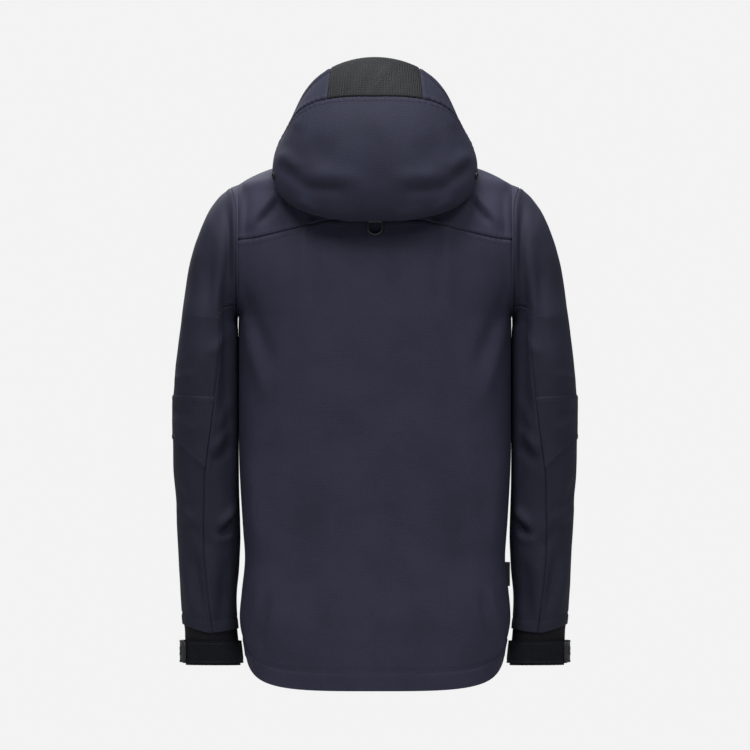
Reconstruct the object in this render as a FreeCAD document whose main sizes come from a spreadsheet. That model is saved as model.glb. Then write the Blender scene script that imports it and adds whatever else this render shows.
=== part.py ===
"""Foul weather jacket: a hooded sailing shell with set-in sleeves, built panel by panel.

Millimetres. +Z is up, the front faces -Y and the wearer's left is +X. Heights in this file are counted
from the lowest point of the back hem; every sub-part is then placed so that the origin is at the neck.
"""
import FreeCAD, Part
import math
import os

import Sketcher

os.makedirs("parts", exist_ok=True)
doc = FreeCAD.newDocument("foul_weather_jacket")
Vector = FreeCAD.Vector

# ---------------------------------------------------------------- driving sizes

SIZES = {
    "neck_height": 745,        # origin above the back hem
    "body_split": 540,         # armpit level, where the side seams end
    "half_chest": 196.6,
    "armhole_half_depth": 82,
    "shoulder_rise": 33,
    "neck_half_width": 82,
    "neck_half_depth": 78.5,
    "neck_offset": -16,
    "neck_back": 748,
    "neck_front": 735,
    "neck_side": 764,
    "collar_top": 820,
    "zip_foot": 12,
    "zip_foot_depth": 118,
    "zip_slope": 0.0321,
    "fabric": 3,               # thickness of a laminated panel with its seam allowances
    "lining_depth": 9.5,
    "lining": 1.2,
    "sleeve_start": 199,
    "elbow_height": 417,
    "elbow_gap": 1.5,
    "elbow_notch": 0.62,       # tangent of the wedge left open at the front of each elbow
    "cuff_top": 89,
    "cuff_foot": 33,
    "strap_height": 32,
    "strap_thickness": 2.4,
    "hood_radius": 148,
    "hood_centre": 760,
    "tooth_gap": 0.6,
    "tooth_width": 3,
    "tooth_thickness": 2.6,
    "tape_width": 15,
    "tape_thickness": 0.8,
    "slider_width": 10,
    "slider_length": 14,
    "slider_height": 6.4,
    "slider_web": 0.8,
    "pull_length": 34,
    "pull_width": 7,
    "pull_thickness": 1.4,
    "ring_width": 24.6,
    "ring_drop": 22,
    "ring_bar": 4,
    "webbing_width": 19,
    "webbing_height": 20,
    "webbing_thickness": 1.8,
    "label_width": 6.5,
    "label_height": 35,
    "label_thickness": 1,
    "tab_length": 52,
    "tab_height": 32,
    "tab_thickness": 2.6,
    "eyelet_hole": 2.6,
    "eyelet_rim": 5.2,
    "eyelet_thickness": 1.6,
    "pocket_zip_length": 170,
    "pocket_zip_width": 15,
    "pocket_zip_thickness": 1.6,
    "pocket_slider_length": 16,
    "pocket_slider_width": 8,
    "pocket_slider_thickness": 2.6,
    "loop_width": 60,
    "loop_bar": 6,
    "loop_thickness": 1.4,
    "box_width": 7.2,
    "box_height": 9,
    "box_thickness": 4.6,
}

sheet = doc.addObject("Spreadsheet::Sheet", "Sizes")
for row, (name, value) in enumerate(SIZES.items(), 1):
    sheet.set("A%d" % row, name)
    sheet.set("B%d" % row, str(value))
    sheet.setAlias("B%d" % row, name)
doc.recompute()


def size(name):
    """A driving size, read back from the sheet."""
    return float(sheet.get(name))


NECK = size("neck_height")
SPLIT = size("body_split")
FABRIC = size("fabric")
LINING = size("lining")
ELBOW = size("elbow_height")

# Outlines as (height, distance) stations; a smooth curve runs through each list.
TORSO_HALF_WIDTH = [(0, 186), (56, 187.5), (100, 194.5), (187, 187), (280, 191.5), (419, 195.5), (520, 196.6)]
TORSO_BACK_DEPTH = [(0, 113), (100, 110), (200, 102), (320, 104), (540, 115)]
SLEEVE_OUTER = [(30, 277), (100, 279.5), (204, 286), (300, 292), (400, 293), (470, 289), (540, 280)]
SLEEVE_INNER = [(30, 192.5), (85, 197.5), (135, 200), (222, 195), (300, 198.4), (470, 199.4), (520, 202),
                (533, 206)]
SLEEVE_HALF_DEPTH = [(30, 38), (100, 43), (200, 50), (300, 57), (430, 69), (540, 80)]
SLEEVE_CENTRE_Y = [(30, -26), (100, -24), (250, -14), (417, -4), (540, 0)]
SLEEVE_CAP = [(0, 199, 731), (0.12, 214, 723), (0.27, 230, 709), (0.45, 249, 675), (0.63, 262, 640),
              (0.82, 271.5, 600), (1, 280, 540)]


def follow(stations, at, column=1):
    """Smooth value at a position along a list of stations (cubic Hermite through every station)."""
    places = [station[0] for station in stations]
    values = [station[column] for station in stations]
    if at <= places[0]:
        return values[0]
    if at >= places[-1]:
        return values[-1]
    k = max(i for i in range(len(places) - 1) if places[i] <= at)

    def slope(i):
        low = max(i - 1, 0)
        high = min(i + 1, len(places) - 1)
        return (values[high] - values[low]) / (places[high] - places[low])

    span = places[k + 1] - places[k]
    f = (at - places[k]) / span
    start = (2 * f**3 - 3 * f**2 + 1) * values[k] + (f**3 - 2 * f**2 + f) * span * slope(k)
    end = (3 * f**2 - 2 * f**3) * values[k + 1] + (f**3 - f**2) * span * slope(k + 1)
    return start + end


def mix(a, b, f):
    return a + (b - a) * f


def power(value, exponent):
    return math.copysign(abs(value) ** exponent, value)


# ---------------------------------------------------------------- solids from a surface

def spline_face(poles):
    """Face over a grid of poles: quadratic each way, or straight where there are only two rows."""
    surface = Part.BSplineSurface()
    across = len(poles)
    upward = len(poles[0])
    degree = min(across - 1, 2)
    columns = [degree + 1] + [1] * (across - degree - 1) + [degree + 1]
    rows = [3] + [1] * (upward - 3) + [3]
    surface.buildFromPolesMultsKnots(poles, columns, rows, range(len(columns)), range(len(rows)),
                                     False, False, degree, 2)
    return surface.toShape()


def sheet_solid(surface, columns, rows, thickness, depth=0.0):
    """A thin closed solid under a surface given as surface(u, v) -> Vector.

    The outward normal is the surface's u direction crossed with its v direction. depth
    sinks the outer face below the surface, for linings and pockets behind a panel.
    """
    step = 1e-4

    def outward(u, v):
        along = surface(min(u + step, 1), v) - surface(max(u - step, 0), v)
        up = surface(u, min(v + step, 1)) - surface(u, max(v - step, 0))
        normal = along.cross(up)
        normal.normalize()
        return normal

    outer = []
    inner = []
    for i in range(columns):
        u = i / (columns - 1)
        points = []
        for j in range(rows):
            v = j / (rows - 1)
            points.append((surface(u, v), outward(u, v)))
        outer.append([point - normal * depth for point, normal in points])
        inner.append([point - normal * (depth + thickness) for point, normal in points])
    faces = [spline_face(outer), spline_face(inner)]
    for end in (0, -1):
        faces.append(spline_face([outer[end], inner[end]]))
        faces.append(spline_face([[column[end] for column in outer], [column[end] for column in inner]]))
    skin = Part.Compound(faces)
    skin.sewShape()
    solid = Part.Solid(skin.Shells[0])
    if solid.Volume < 0:
        solid.reverse()
    return solid


def mirrored(shape):
    """The same piece on the wearer's right."""
    return shape.mirror(Vector(0, 0, 0), Vector(1, 0, 0))


subparts = []


def place(item, label, position=(0, 0, 0), turn=None):
    """Label a sub-part and put it at a hem-based position, in the frame whose origin is at the neck."""
    item.Label = label
    x, y, z = position
    item.Placement = FreeCAD.Placement(Vector(x, y, z - NECK), turn or FreeCAD.Rotation())
    subparts.append(item)
    return item


def panel(label, shape):
    """A formed soft piece whose shape is already in hem-based heights."""
    feature = doc.addObject("Part::Feature", label)
    feature.Shape = shape
    return place(feature, label)


def panel_pair(label, shape):
    panel("left_" + label, shape)
    panel("right_" + label, mirrored(shape))


# ---------------------------------------------------------------- torso surface

ROUNDNESS = 0.8                 # exponent that squares the torso's oval a little
ZIP_SIDE = -1
BACK_SIDE = 1


def zip_depth(height):
    """Distance of the straight zip line in front of the wearer's centre plane."""
    return size("zip_foot_depth") - (height - size("zip_foot")) * size("zip_slope")


def torso_section(side, q, height):
    """Point on the torso oval: q is 0 at the centre line and 1 (or -1) at a side seam."""
    angle = q * math.pi / 2
    wide = follow(TORSO_HALF_WIDTH, height)
    deep = follow(TORSO_BACK_DEPTH, height) if side == BACK_SIDE else zip_depth(height)
    return Vector(wide * power(math.sin(angle), ROUNDNESS), side * deep * max(math.cos(angle), 0)**ROUNDNESS,
                  height)


NECK_SHARE = 0.42               # share of the top edge that lies on the neck ring


def shoulder_line(side, q):
    """Top edge of the torso: half of the neck ring, then the shoulder out to its tip."""
    across = abs(q)
    width = size("neck_half_width")
    depth = size("neck_half_depth")
    low = size("neck_back") if side == BACK_SIDE else size("neck_front")
    reach = math.radians(75 if side == BACK_SIDE else 105)
    turn = reach * min(across / NECK_SHARE, 1)
    x = width * math.sin(turn)
    y = size("neck_offset") + side * depth * math.cos(turn)
    z = mix(low, size("neck_side"), min(across / NECK_SHARE, 1)**2)
    if across > NECK_SHARE:
        out = (across - NECK_SHARE) / (1 - NECK_SHARE)
        x = mix(x, size("half_chest"), out)
        y = y * (1 - out)
        z = size("neck_side") - size("shoulder_rise") * out**1.4
    return Vector(math.copysign(x, q) if q else 0.0, y, z)


def torso_upper(side, q, t):
    """Chest and shoulder above the armpits: from the armpit oval (t 0) up to the shoulder line (t 1)."""
    foot = torso_section(side, q, SPLIT)
    top = shoulder_line(side, q)
    fullness = q * q
    start = -90 * fullness
    angle = math.radians(mix(start, 90, t))
    low = math.sin(math.radians(start))
    rise = (math.sin(angle) - low) / (1 - low)
    x = mix(foot.x, top.x, t)
    y = top.y + (foot.y - top.y) * max(math.cos(math.radians(90 * t)), 0)**0.6
    y += side * size("armhole_half_depth") * fullness * math.sin(math.pi * t)
    return Vector(x, y, mix(SPLIT, top.z, rise))


def hem_height(side, q):
    """Curved hem: lowest at the centre, higher at the side seams."""
    centre = 0 if side == BACK_SIDE else size("zip_foot")
    return mix(centre, 50, abs(q)**3)


def torso(side, q, v, low=None):
    """Torso surface: v runs 0 to 1 from the hem to armpit level and 1 to 2 up to the shoulder."""
    if v <= 1:
        foot = hem_height(side, q) if low is None else low
        return torso_section(side, q, mix(foot, SPLIT, v))
    return torso_upper(side, q, v - 1)


def yoke_level(q):
    """Back yoke seam as a position between armpit level (1) and shoulder line (2)."""
    return 1.53 - 0.08 * q * q + 0.03 * q**4


SIDE = 0.996                    # panels stop just short of the side seam
SEAM_V = 0.0016


def back_lower(u, v):
    q = mix(SIDE, -SIDE, u)
    return torso(BACK_SIDE, q, mix(0, yoke_level(q) - SEAM_V, v))


def back_upper(u, v):
    q = mix(SIDE, -SIDE, u)
    return torso(BACK_SIDE, q, mix(yoke_level(q) + SEAM_V, 1.996, v))


def front_left(u, v):
    q = mix(0.038, SIDE, u)
    return torso(ZIP_SIDE, q, mix(0, 1.996, v))


panel("back_panel", sheet_solid(back_lower, 33, 21, FABRIC))
panel("back_yoke", sheet_solid(back_upper, 33, 11, FABRIC))
panel_pair("front_panel", sheet_solid(front_left, 21, 25, FABRIC))


# ---------------------------------------------------------------- lining and hem

def wrap(u, v, low, high, opening):
    """A sheet that wraps the whole body, open at the centre front."""
    q = mix(2 - opening, opening - 2, u)
    if abs(q) <= 1:
        return torso(BACK_SIDE, q, mix(low, high, v))
    return torso(ZIP_SIDE, math.copysign(2 - abs(q), q), mix(low, high, v))


def body_lining(u, v):
    return wrap(u, v, 0.1, 0.985, 0.16)


def yoke_lining(u, v):
    q = mix(0.72, -0.72, u)
    return torso(BACK_SIDE, q, mix(1.2, 1.9, v))


def hem_facing(u, v):
    return wrap(u, v, 0.008, 0.085, 0.16)


panel("body_lining", sheet_solid(body_lining, 61, 9, LINING, size("lining_depth")))
panel("yoke_lining", sheet_solid(yoke_lining, 25, 9, LINING, size("lining_depth")))
panel("hem_facing", sheet_solid(hem_facing, 61, 5, 1.6, FABRIC + 1.5))


# ---------------------------------------------------------------- collar

def neck_height_at(turn):
    """Height of the neck ring at an angle from the centre back."""
    back_share = math.radians(75)
    if abs(turn) <= back_share:
        return mix(size("neck_back"), size("neck_side"), (turn / back_share)**2)
    return mix(size("neck_front"), size("neck_side"), ((math.pi - abs(turn)) / (math.pi - back_share))**2)


def collar_outer(u, v):
    """Stand-up collar: from the neck ring to its level top edge, open at the zip."""
    return collar(mix(-165, 165, u), v)


def collar_inner(u, v):
    return collar(mix(-156, 156, u), v)


def collar(degrees, v):
    turn = math.radians(degrees)
    low = neck_height_at(turn) + 1.8
    grow = 1 + 0.02 * v
    x = size("neck_half_width") * math.sin(turn) * grow
    y = size("neck_offset") + size("neck_half_depth") * math.cos(turn) * grow
    return Vector(-x, y, mix(low, size("collar_top"), v))


panel("collar_outer", sheet_solid(collar_outer, 33, 6, FABRIC))
panel("collar_lining", sheet_solid(collar_inner, 33, 6, 2.2, FABRIC + 0.6))


# ---------------------------------------------------------------- main zip

ZIP_LEAN = math.degrees(math.atan(size("zip_slope")))
ZIP_TURN = FreeCAD.Rotation(Vector(1, 0, 0), -ZIP_LEAN)
ZIP_SINK = 4.6                  # the teeth run this far behind the face of the front panels


def on_zip(height, x=0.0, inward=ZIP_SINK):
    """A point beside the zip line, inward of the front face."""
    return (x, -zip_depth(height) + inward, height)


def bound_box(label, length, width, height):
    """A Part::Box whose three sizes are sheet cells, formulas or plain numbers."""
    box = doc.addObject("Part::Box", label + "_block")
    box.setExpression("Length", str(length))
    box.setExpression("Width", str(width))
    box.setExpression("Height", str(height))
    return box


def cell(name):
    return "Sizes." + name


def zip_strip(label, x, width, thickness, foot, length):
    strip = bound_box(label, width, thickness, length)
    doc.recompute()
    thick = strip.Width.Value
    place(strip, label, on_zip(foot, x, ZIP_SINK - thick / 2), ZIP_TURN)


ZIP_FOOT = size("zip_foot") + 8
TOOTH = size("tooth_gap")
TAPE = size("tape_width")
tape_x = TOOTH + size("tooth_width") + 0.1
zip_strip("left_zip_teeth", TOOTH, cell("tooth_width"), cell("tooth_thickness"), ZIP_FOOT + 10, 786)
zip_strip("right_zip_teeth", -TOOTH - size("tooth_width"), cell("tooth_width"), cell("tooth_thickness"),
          ZIP_FOOT + 10, 786)
zip_strip("left_zip_tape", tape_x, cell("tape_width"), cell("tape_thickness"), ZIP_FOOT, 797)
zip_strip("right_zip_tape", -tape_x - TAPE, cell("tape_width"), cell("tape_thickness"), ZIP_FOOT, 797)


storm = bound_box("storm_flap", 56, 1.4, 780)
doc.recompute()
place(storm, "storm_flap", on_zip(28, -28, 10.4), ZIP_TURN)


def plane(body, role):
    """One of a body's own origin planes."""
    return [item for item in body.Origin.OriginFeatures if item.Role == role][0]


def new_body(label):
    return doc.addObject("PartDesign::Body", label + "_body")


def new_sketch(body, name, role):
    sketch = body.newObject("Sketcher::SketchObject", name)
    sketch.AttachmentSupport = [(plane(body, role), "")]
    sketch.MapMode = "FlatFace"
    return sketch


def rectangle(sketch, wide, tall):
    """A rectangle centred on the sketch origin, its two sizes bound to expressions."""
    corners = [(-1, -1), (1, -1), (1, 1), (-1, 1)]
    first = sketch.GeometryCount
    for i in range(4):
        a = Vector(corners[i][0] * 10, corners[i][1] * 10, 0)
        b = Vector(corners[(i + 1) % 4][0] * 10, corners[(i + 1) % 4][1] * 10, 0)
        sketch.addGeometry(Part.LineSegment(a, b), False)
    for i in range(4):
        sketch.addConstraint(Sketcher.Constraint("Coincident", first + i, 2, first + (i + 1) % 4, 1))
    for i in (0, 2):
        sketch.addConstraint(Sketcher.Constraint("Horizontal", first + i))
        sketch.addConstraint(Sketcher.Constraint("Vertical", first + i + 1))
    sketch.addConstraint(Sketcher.Constraint("Symmetric", first, 1, first + 1, 2, -1, 1))
    for line, expression in ((first, wide), (first + 1, tall)):
        index = sketch.addConstraint(Sketcher.Constraint("Distance", line, 20.0))
        sketch.setExpression("Constraints[%d]" % index, expression)


def pad(body, sketch, length):
    """Pad a sketch symmetrically by a bound length."""
    feature = body.newObject("PartDesign::Pad", sketch.Name + "_pad")
    feature.Profile = sketch
    feature.setExpression("Length", length)
    feature.Midplane = True
    return feature


def slider(label, height):
    """Zip slider: front and back plates joined by a thin web that runs between the two rows of teeth."""
    body = new_body(label)
    section = new_sketch(body, label + "_section", "XZ_Plane")
    rectangle(section, cell("slider_width"), cell("slider_length"))
    pad(body, section, cell("slider_height"))
    doc.recompute()
    before = body.Shape.Volume
    for side in (-1, 1):
        channel = new_sketch(body, "%s_channel_%d" % (label, side + 1), "XY_Plane")
        rectangle(channel, "Sizes.slider_width / 2", "Sizes.tooth_thickness + 0.9")
        shift = (size("slider_width") / 4 + size("slider_web") / 2) * side
        channel.AttachmentOffset = FreeCAD.Placement(Vector(shift, 0, 0), FreeCAD.Rotation())
        pocket = body.newObject("PartDesign::Pocket", "%s_slot_%d" % (label, side + 1))
        pocket.Profile = channel
        pocket.Length = 40
        pocket.Midplane = True
        doc.recompute()
    if body.Shape.Volume >= before:
        raise RuntimeError("the slider's channels cut nothing")
    place(body, label, on_zip(height), ZIP_TURN)


SLIDER_HEIGHT = 796
slider("main_zip_slider", SLIDER_HEIGHT)


def tag(label, position, turn, length, width, thickness, hole):
    """A flat tag hanging from its hole: a padded plate with a round hole near the top."""
    body = new_body(label)
    outline = new_sketch(body, label + "_outline", "XZ_Plane")
    rectangle(outline, width, length)
    pad(body, outline, thickness)
    doc.recompute()
    before = body.Shape.Volume
    mouth = new_sketch(body, label + "_hole", "XZ_Plane")
    mouth.addGeometry(Part.Circle(Vector(0, 0, 0), Vector(0, 0, 1), hole), False)
    mouth.addConstraint(Sketcher.Constraint("Radius", 0, hole))
    mouth.addConstraint(Sketcher.Constraint("PointOnObject", 0, 3, -2))
    drop = mouth.addConstraint(Sketcher.Constraint("DistanceY", -1, 1, 0, 3, 10.0))
    mouth.setExpression("Constraints[%d]" % drop, "(%s) / 2 - %s" % (length, hole + 1.6))
    cut = body.newObject("PartDesign::Pocket", label + "_cut")
    cut.Profile = mouth
    cut.Length = 20
    cut.Midplane = True
    doc.recompute()
    if body.Shape.Volume >= before:
        raise RuntimeError("the tag's hole cuts nothing")
    place(body, label, position, turn)


PULL_HEIGHT = SLIDER_HEIGHT - size("pull_length") / 2
pull_y = ZIP_SINK - size("slider_height") / 2 - size("pull_thickness") / 2 - 0.5
tag("main_zip_pull", on_zip(PULL_HEIGHT, 0, pull_y), ZIP_TURN, cell("pull_length"), cell("pull_width"),
    cell("pull_thickness"), 1.7)

box = bound_box("zip_bottom_box", cell("box_width"), cell("box_thickness"), cell("box_height"))
box_at = on_zip(size("zip_foot") + 19.5, -size("box_width") / 2, ZIP_SINK - size("box_thickness") / 2)
place(box, "zip_bottom_box", (box_at[0], box_at[1], box_at[2] - 11), ZIP_TURN)


# ---------------------------------------------------------------- hand pockets

POCKET_Q = 0.6
POCKET_LOW = 175
POCKET_PROUD = 2.2


def front_point(q, height):
    return torso_section(ZIP_SIDE, q, height)


pocket_high = POCKET_LOW + size("pocket_zip_length")
pocket_foot = front_point(POCKET_Q, POCKET_LOW)
pocket_head = front_point(POCKET_Q, pocket_high)
beside = front_point(POCKET_Q + 0.02, POCKET_LOW) - front_point(POCKET_Q - 0.02, POCKET_LOW)
pocket_up = pocket_head - pocket_foot
pocket_up.normalize()
pocket_out = pocket_up.cross(beside)
pocket_out.normalize()
if pocket_out.y > 0:
    pocket_out = -pocket_out
pocket_across = pocket_out.cross(pocket_up)


def pocket_frame(origin, flip):
    """Placement whose X runs across the pocket zip, Y into the body and Z up the zip."""
    across = Vector(pocket_across)
    up = Vector(pocket_up)
    inward = up.cross(across)
    start = Vector(origin)
    if flip:
        across = Vector(across.x, -across.y, -across.z)
        up = Vector(-up.x, up.y, up.z)
        inward = up.cross(across)
        start.x = -start.x
    matrix = FreeCAD.Matrix(across.x, inward.x, up.x, start.x, across.y, inward.y, up.y, start.y,
                            across.z, inward.z, up.z, start.z - NECK, 0, 0, 0, 1)
    return FreeCAD.Placement(matrix)


def pocket_block(label, sizes, rise, proud, flip):
    """A bound box centred across the pocket zip, its back face `proud` of the panel."""
    block = bound_box(label, *sizes)
    doc.recompute()
    deep = block.Width.Value
    across = -block.Length.Value / 2
    corner = pocket_foot + pocket_up * rise + pocket_out * (proud + deep)
    if flip:
        placement = pocket_frame(corner, True)
        placement.Base = placement.Base + placement.Rotation.multVec(Vector(across, 0, 0))
    else:
        placement = pocket_frame(corner + pocket_across * across, False)
    block.Label = label
    block.Placement = placement
    subparts.append(block)


for name, flip in (("left", False), ("right", True)):
    pocket_block(name + "_pocket_zip", (cell("pocket_zip_width"), cell("pocket_zip_thickness"),
                                        cell("pocket_zip_length")), 0, POCKET_PROUD, flip)
    pocket_block(name + "_pocket_slider", (cell("pocket_slider_width"), cell("pocket_slider_thickness"),
                                           cell("pocket_slider_length")),
                 size("pocket_zip_length") - 22, POCKET_PROUD + size("pocket_zip_thickness") + 0.4, flip)


def pocket_bag(u, v):
    q = mix(0.28, 0.8, u)
    return torso_section(ZIP_SIDE, q, mix(120, 350, v))


panel_pair("pocket_bag", sheet_solid(pocket_bag, 11, 11, 1.2, FABRIC + 1.8))


# ---------------------------------------------------------------- small parts on the torso

RING_HINGE = 677


def back_point(x, height):
    """Outer face of the upper back at a place near the centre line."""
    low = 1.0
    high = 2.0
    for _ in range(40):
        middle = (low + high) / 2
        if torso(BACK_SIDE, 0, middle).z < height:
            low = middle
        else:
            high = middle
    return Vector(x, torso(BACK_SIDE, 0, low).y, height)


ring_seat = back_point(0, RING_HINGE)
webbing = bound_box("d_ring_webbing", cell("webbing_width"), cell("webbing_thickness"),
                    cell("webbing_height"))
place(webbing, "d_ring_webbing", (-size("webbing_width") / 2, ring_seat.y + 1.2, RING_HINGE + 2.6))

ring = new_body("d_ring")
rim = new_sketch(ring, "d_ring_rim", "XZ_Plane")
rectangle(rim, cell("ring_width"), cell("ring_drop"))
ring_plate = pad(ring, rim, cell("ring_bar"))
doc.recompute()
lower_corners = [("Edge%d" % (i + 1)) for i, edge in enumerate(ring.Shape.Edges)
                 if abs(edge.Vertexes[0].Point.y - edge.Vertexes[-1].Point.y) > 1
                 and edge.Vertexes[0].Point.z < 0]
bend = ring.newObject("PartDesign::Fillet", "d_ring_bend")
bend.Base = (ring_plate, lower_corners)
bend.setExpression("Radius", "Sizes.ring_width / 2 - 0.6")
doc.recompute()
solid_volume = ring.Shape.Volume
gap = new_sketch(ring, "d_ring_gap", "XZ_Plane")
inner = size("ring_width") / 2 - size("ring_bar")
drop = size("ring_drop") / 2 - size("ring_bar")
gap.addGeometry(Part.LineSegment(Vector(-inner, drop, 0), Vector(inner, drop, 0)), False)
gap.addGeometry(Part.LineSegment(Vector(inner, drop, 0), Vector(inner, inner - drop - 0.01, 0)), False)
gap.addGeometry(Part.Arc(Vector(inner, inner - drop - 0.01, 0), Vector(0, -drop, 0),
                         Vector(-inner, inner - drop - 0.01, 0)), False)
gap.addGeometry(Part.LineSegment(Vector(-inner, inner - drop - 0.01, 0), Vector(-inner, drop, 0)), False)
opening = ring.newObject("PartDesign::Pocket", "d_ring_opening")
opening.Profile = gap
opening.Length = 20
opening.Midplane = True
doc.recompute()
if ring.Shape.Volume >= solid_volume:
    raise RuntimeError("the ring's opening cuts nothing")
RING_Y = ring_seat.y + 3.2 + size("ring_bar") / 2 + 0.4
place(ring, "d_ring", (0, RING_Y, RING_HINGE - size("ring_drop") / 2 + 1))

label = bound_box("side_label", cell("label_width"), cell("label_thickness"), cell("label_height"))
place(label, "side_label", (-follow(TORSO_HALF_WIDTH, 166) - size("label_width") - 0.6, -0.5, 149))

loop = new_body("hang_loop")
band = new_sketch(loop, "hang_loop_band", "XZ_Plane")
rectangle(band, cell("loop_width"), "Sizes.loop_bar * 3.4")
rectangle(band, "Sizes.loop_width - 2 * Sizes.loop_bar", "Sizes.loop_bar * 1.4")
pad(loop, band, cell("loop_thickness"))
doc.recompute()
place(loop, "hang_loop", (0, size("neck_offset") + size("neck_half_depth") - 16, 766))


# ---------------------------------------------------------------- sleeves

def sleeve_ends(k):
    """Inner and outer edge of a sleeve section: k runs 0 to 1 over the cap and 1 to 2 down to the cuff."""
    if k <= 1:
        turn = math.radians(90 * k)
        radius = SLEEVE_INNER[-1][1] - size("sleeve_start")
        inner = Vector(size("sleeve_start") + radius * math.sin(turn), 0,
                       SPLIT + 1 - radius * (1 - math.cos(turn)))
        outer = Vector(follow(SLEEVE_CAP, k), 0, follow(SLEEVE_CAP, k, 2))
        return inner, outer
    low = size("cuff_foot") - 3
    outer_z = mix(SPLIT, low, k - 1)
    inner_z = mix(SPLIT + 1 - SLEEVE_INNER[-1][1] + size("sleeve_start"), low, k - 1)
    return (Vector(follow(SLEEVE_INNER, inner_z), 0, inner_z),
            Vector(follow(SLEEVE_OUTER, outer_z), 0, outer_z))


def sleeve(k, turn):
    """Point on the left sleeve: turn 0 is its outer side, 90 its back, 180 its inner side."""
    inner, outer = sleeve_ends(k)
    middle = (inner + outer) * 0.5
    half = (outer - inner) * 0.5
    deep = mix(size("armhole_half_depth"), 80, k) if k <= 1 else follow(SLEEVE_HALF_DEPTH, middle.z)
    centre = 0 if k <= 1 else follow(SLEEVE_CENTRE_Y, middle.z)
    angle = math.radians(turn)
    point = middle + half * math.cos(angle)
    return Vector(point.x, centre + deep * math.sin(angle), point.z)


def sleeve_level(height):
    """Section number of a height below the armpit."""
    low = size("cuff_foot") - 3
    return 1 + (SPLIT - height) / (SPLIT - low)


def notch(turn):
    """Height of the wedge left open at the front of the elbow, so that the arm can bend."""
    depth = follow(SLEEVE_HALF_DEPTH, ELBOW)
    forward = -math.sin(math.radians(turn))
    return size("elbow_gap") + size("elbow_notch") * depth * (forward + math.sqrt(forward**2 + 0.004)) / 2


def upper_arm(start, end):
    def surface(u, v):
        turn = mix(start, end, u)
        if v < 0.5:
            return sleeve(mix(sleeve_level(ELBOW + notch(turn)), 1, v * 2), turn)
        return sleeve(mix(1, 0, v * 2 - 1), turn)
    return surface


def forearm(start, end, low, high=None):
    def surface(u, v):
        turn = mix(start, end, u)
        head = ELBOW - notch(turn) if high is None else high
        return sleeve(mix(sleeve_level(low), sleeve_level(head), v), turn)
    return surface


SPLIT_TURN = 0.4
OUTER_HALF = (-90 + SPLIT_TURN, 90 - SPLIT_TURN)
INNER_HALF = (90 + SPLIT_TURN, 270 - SPLIT_TURN)
CUFF_TOP = size("cuff_top")
panel_pair("upper_sleeve", sheet_solid(upper_arm(*OUTER_HALF), 17, 21, FABRIC))
panel_pair("under_sleeve", sheet_solid(upper_arm(*INNER_HALF), 17, 21, FABRIC))
panel_pair("sleeve_lining", sheet_solid(upper_arm(-165, 165), 33, 25, LINING, FABRIC + 1.5))
panel_pair("forearm_outer", sheet_solid(forearm(*OUTER_HALF, CUFF_TOP + 1), 17, 15, FABRIC))
panel_pair("forearm_inner", sheet_solid(forearm(*INNER_HALF, CUFF_TOP + 1), 17, 15, FABRIC))
panel_pair("elbow_patch", sheet_solid(forearm(8, 84, 330, 409), 9, 7, 1.5, -1.9))
panel_pair("cuff_band", sheet_solid(forearm(-176, 176, size("cuff_foot"), CUFF_TOP - 1), 41, 6, FABRIC))
strap_low = size("cuff_foot") + 3
panel_pair("cuff_strap", sheet_solid(forearm(-34, 274, strap_low, strap_low + size("strap_height")), 41, 4,
                                     size("strap_thickness"), -size("strap_thickness") - 0.4))


def cuff_tab(label, flip):
    """Moulded hook tab on the outer side of the strap, held at its back end."""
    body = new_body(label)
    outline = new_sketch(body, label + "_outline", "YZ_Plane")
    rectangle(outline, cell("tab_length"), cell("tab_height"))
    plate = pad(body, outline, cell("tab_thickness"))
    doc.recompute()
    corners = [("Edge%d" % (i + 1)) for i, edge in enumerate(body.Shape.Edges)
               if abs(edge.Vertexes[0].Point.x - edge.Vertexes[-1].Point.x) > 1]
    rounding = body.newObject("PartDesign::Fillet", label + "_corners")
    rounding.Base = (plate, corners)
    rounding.Radius = 6
    doc.recompute()
    side = -1 if flip else 1
    place(body, label, (side * TAB_X, TAB_Y, strap_low + size("strap_height") / 2 + 2))


TAB_X = follow(SLEEVE_OUTER, 55) + size("strap_thickness") + 0.4 + size("tab_thickness") / 2 + 1.0
TAB_Y = follow(SLEEVE_CENTRE_Y, 55) - 2
cuff_tab("left_cuff_tab", False)
cuff_tab("right_cuff_tab", True)


# ---------------------------------------------------------------- hood

def hood(s, v):
    """Lowered hood: s is -1 to 1 round the back, v runs 0 to 1 from the bottom of the pouch to the rim."""
    across = math.sin(s * math.pi / 2)
    back = math.cos(s * math.pi / 2)
    radius = size("hood_radius")
    centre = size("hood_centre")
    rim_turn = math.radians(90 - 82 * abs(s))
    rim_radius = radius + 5 * math.sin(rim_turn)**2 - 13 * math.exp(-((math.degrees(rim_turn) - 27) / 20)**2)
    rim = Vector(math.copysign(rim_radius * math.cos(rim_turn), s), 35 + 57 * back,
                 centre + rim_radius * math.sin(rim_turn))
    bottom = Vector(0.87 * radius * across, 100 + 42 * back, centre - 48 - 37 * back)
    low = Vector(1.035 * radius * across, 96 + 98 * back, centre - 42 - 18 * back)
    high = Vector(1.03 * radius * across, 62 + 114 * back, centre + 4 + 86 * back)
    w = 1 - v
    return bottom * w**3 + low * (3 * w * w * v) + high * (3 * w * v * v) + rim * v**3


def visor_seam(s):
    """Where the visor is sewn to the crown, as a position v."""
    return 0.76 + 0.2 * abs(s)**1.6


RIB_EDGE = 0.315                # half-width of the ribbed middle panel, in s
RIB_TAPER = 0.04
HOOD_SIDE = 0.97
HOOD_GAP = 0.003


def crown(u, v):
    s = mix(HOOD_SIDE, -HOOD_SIDE, u)
    return hood(s, mix(0, visor_seam(s) - HOOD_GAP, v))


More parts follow.
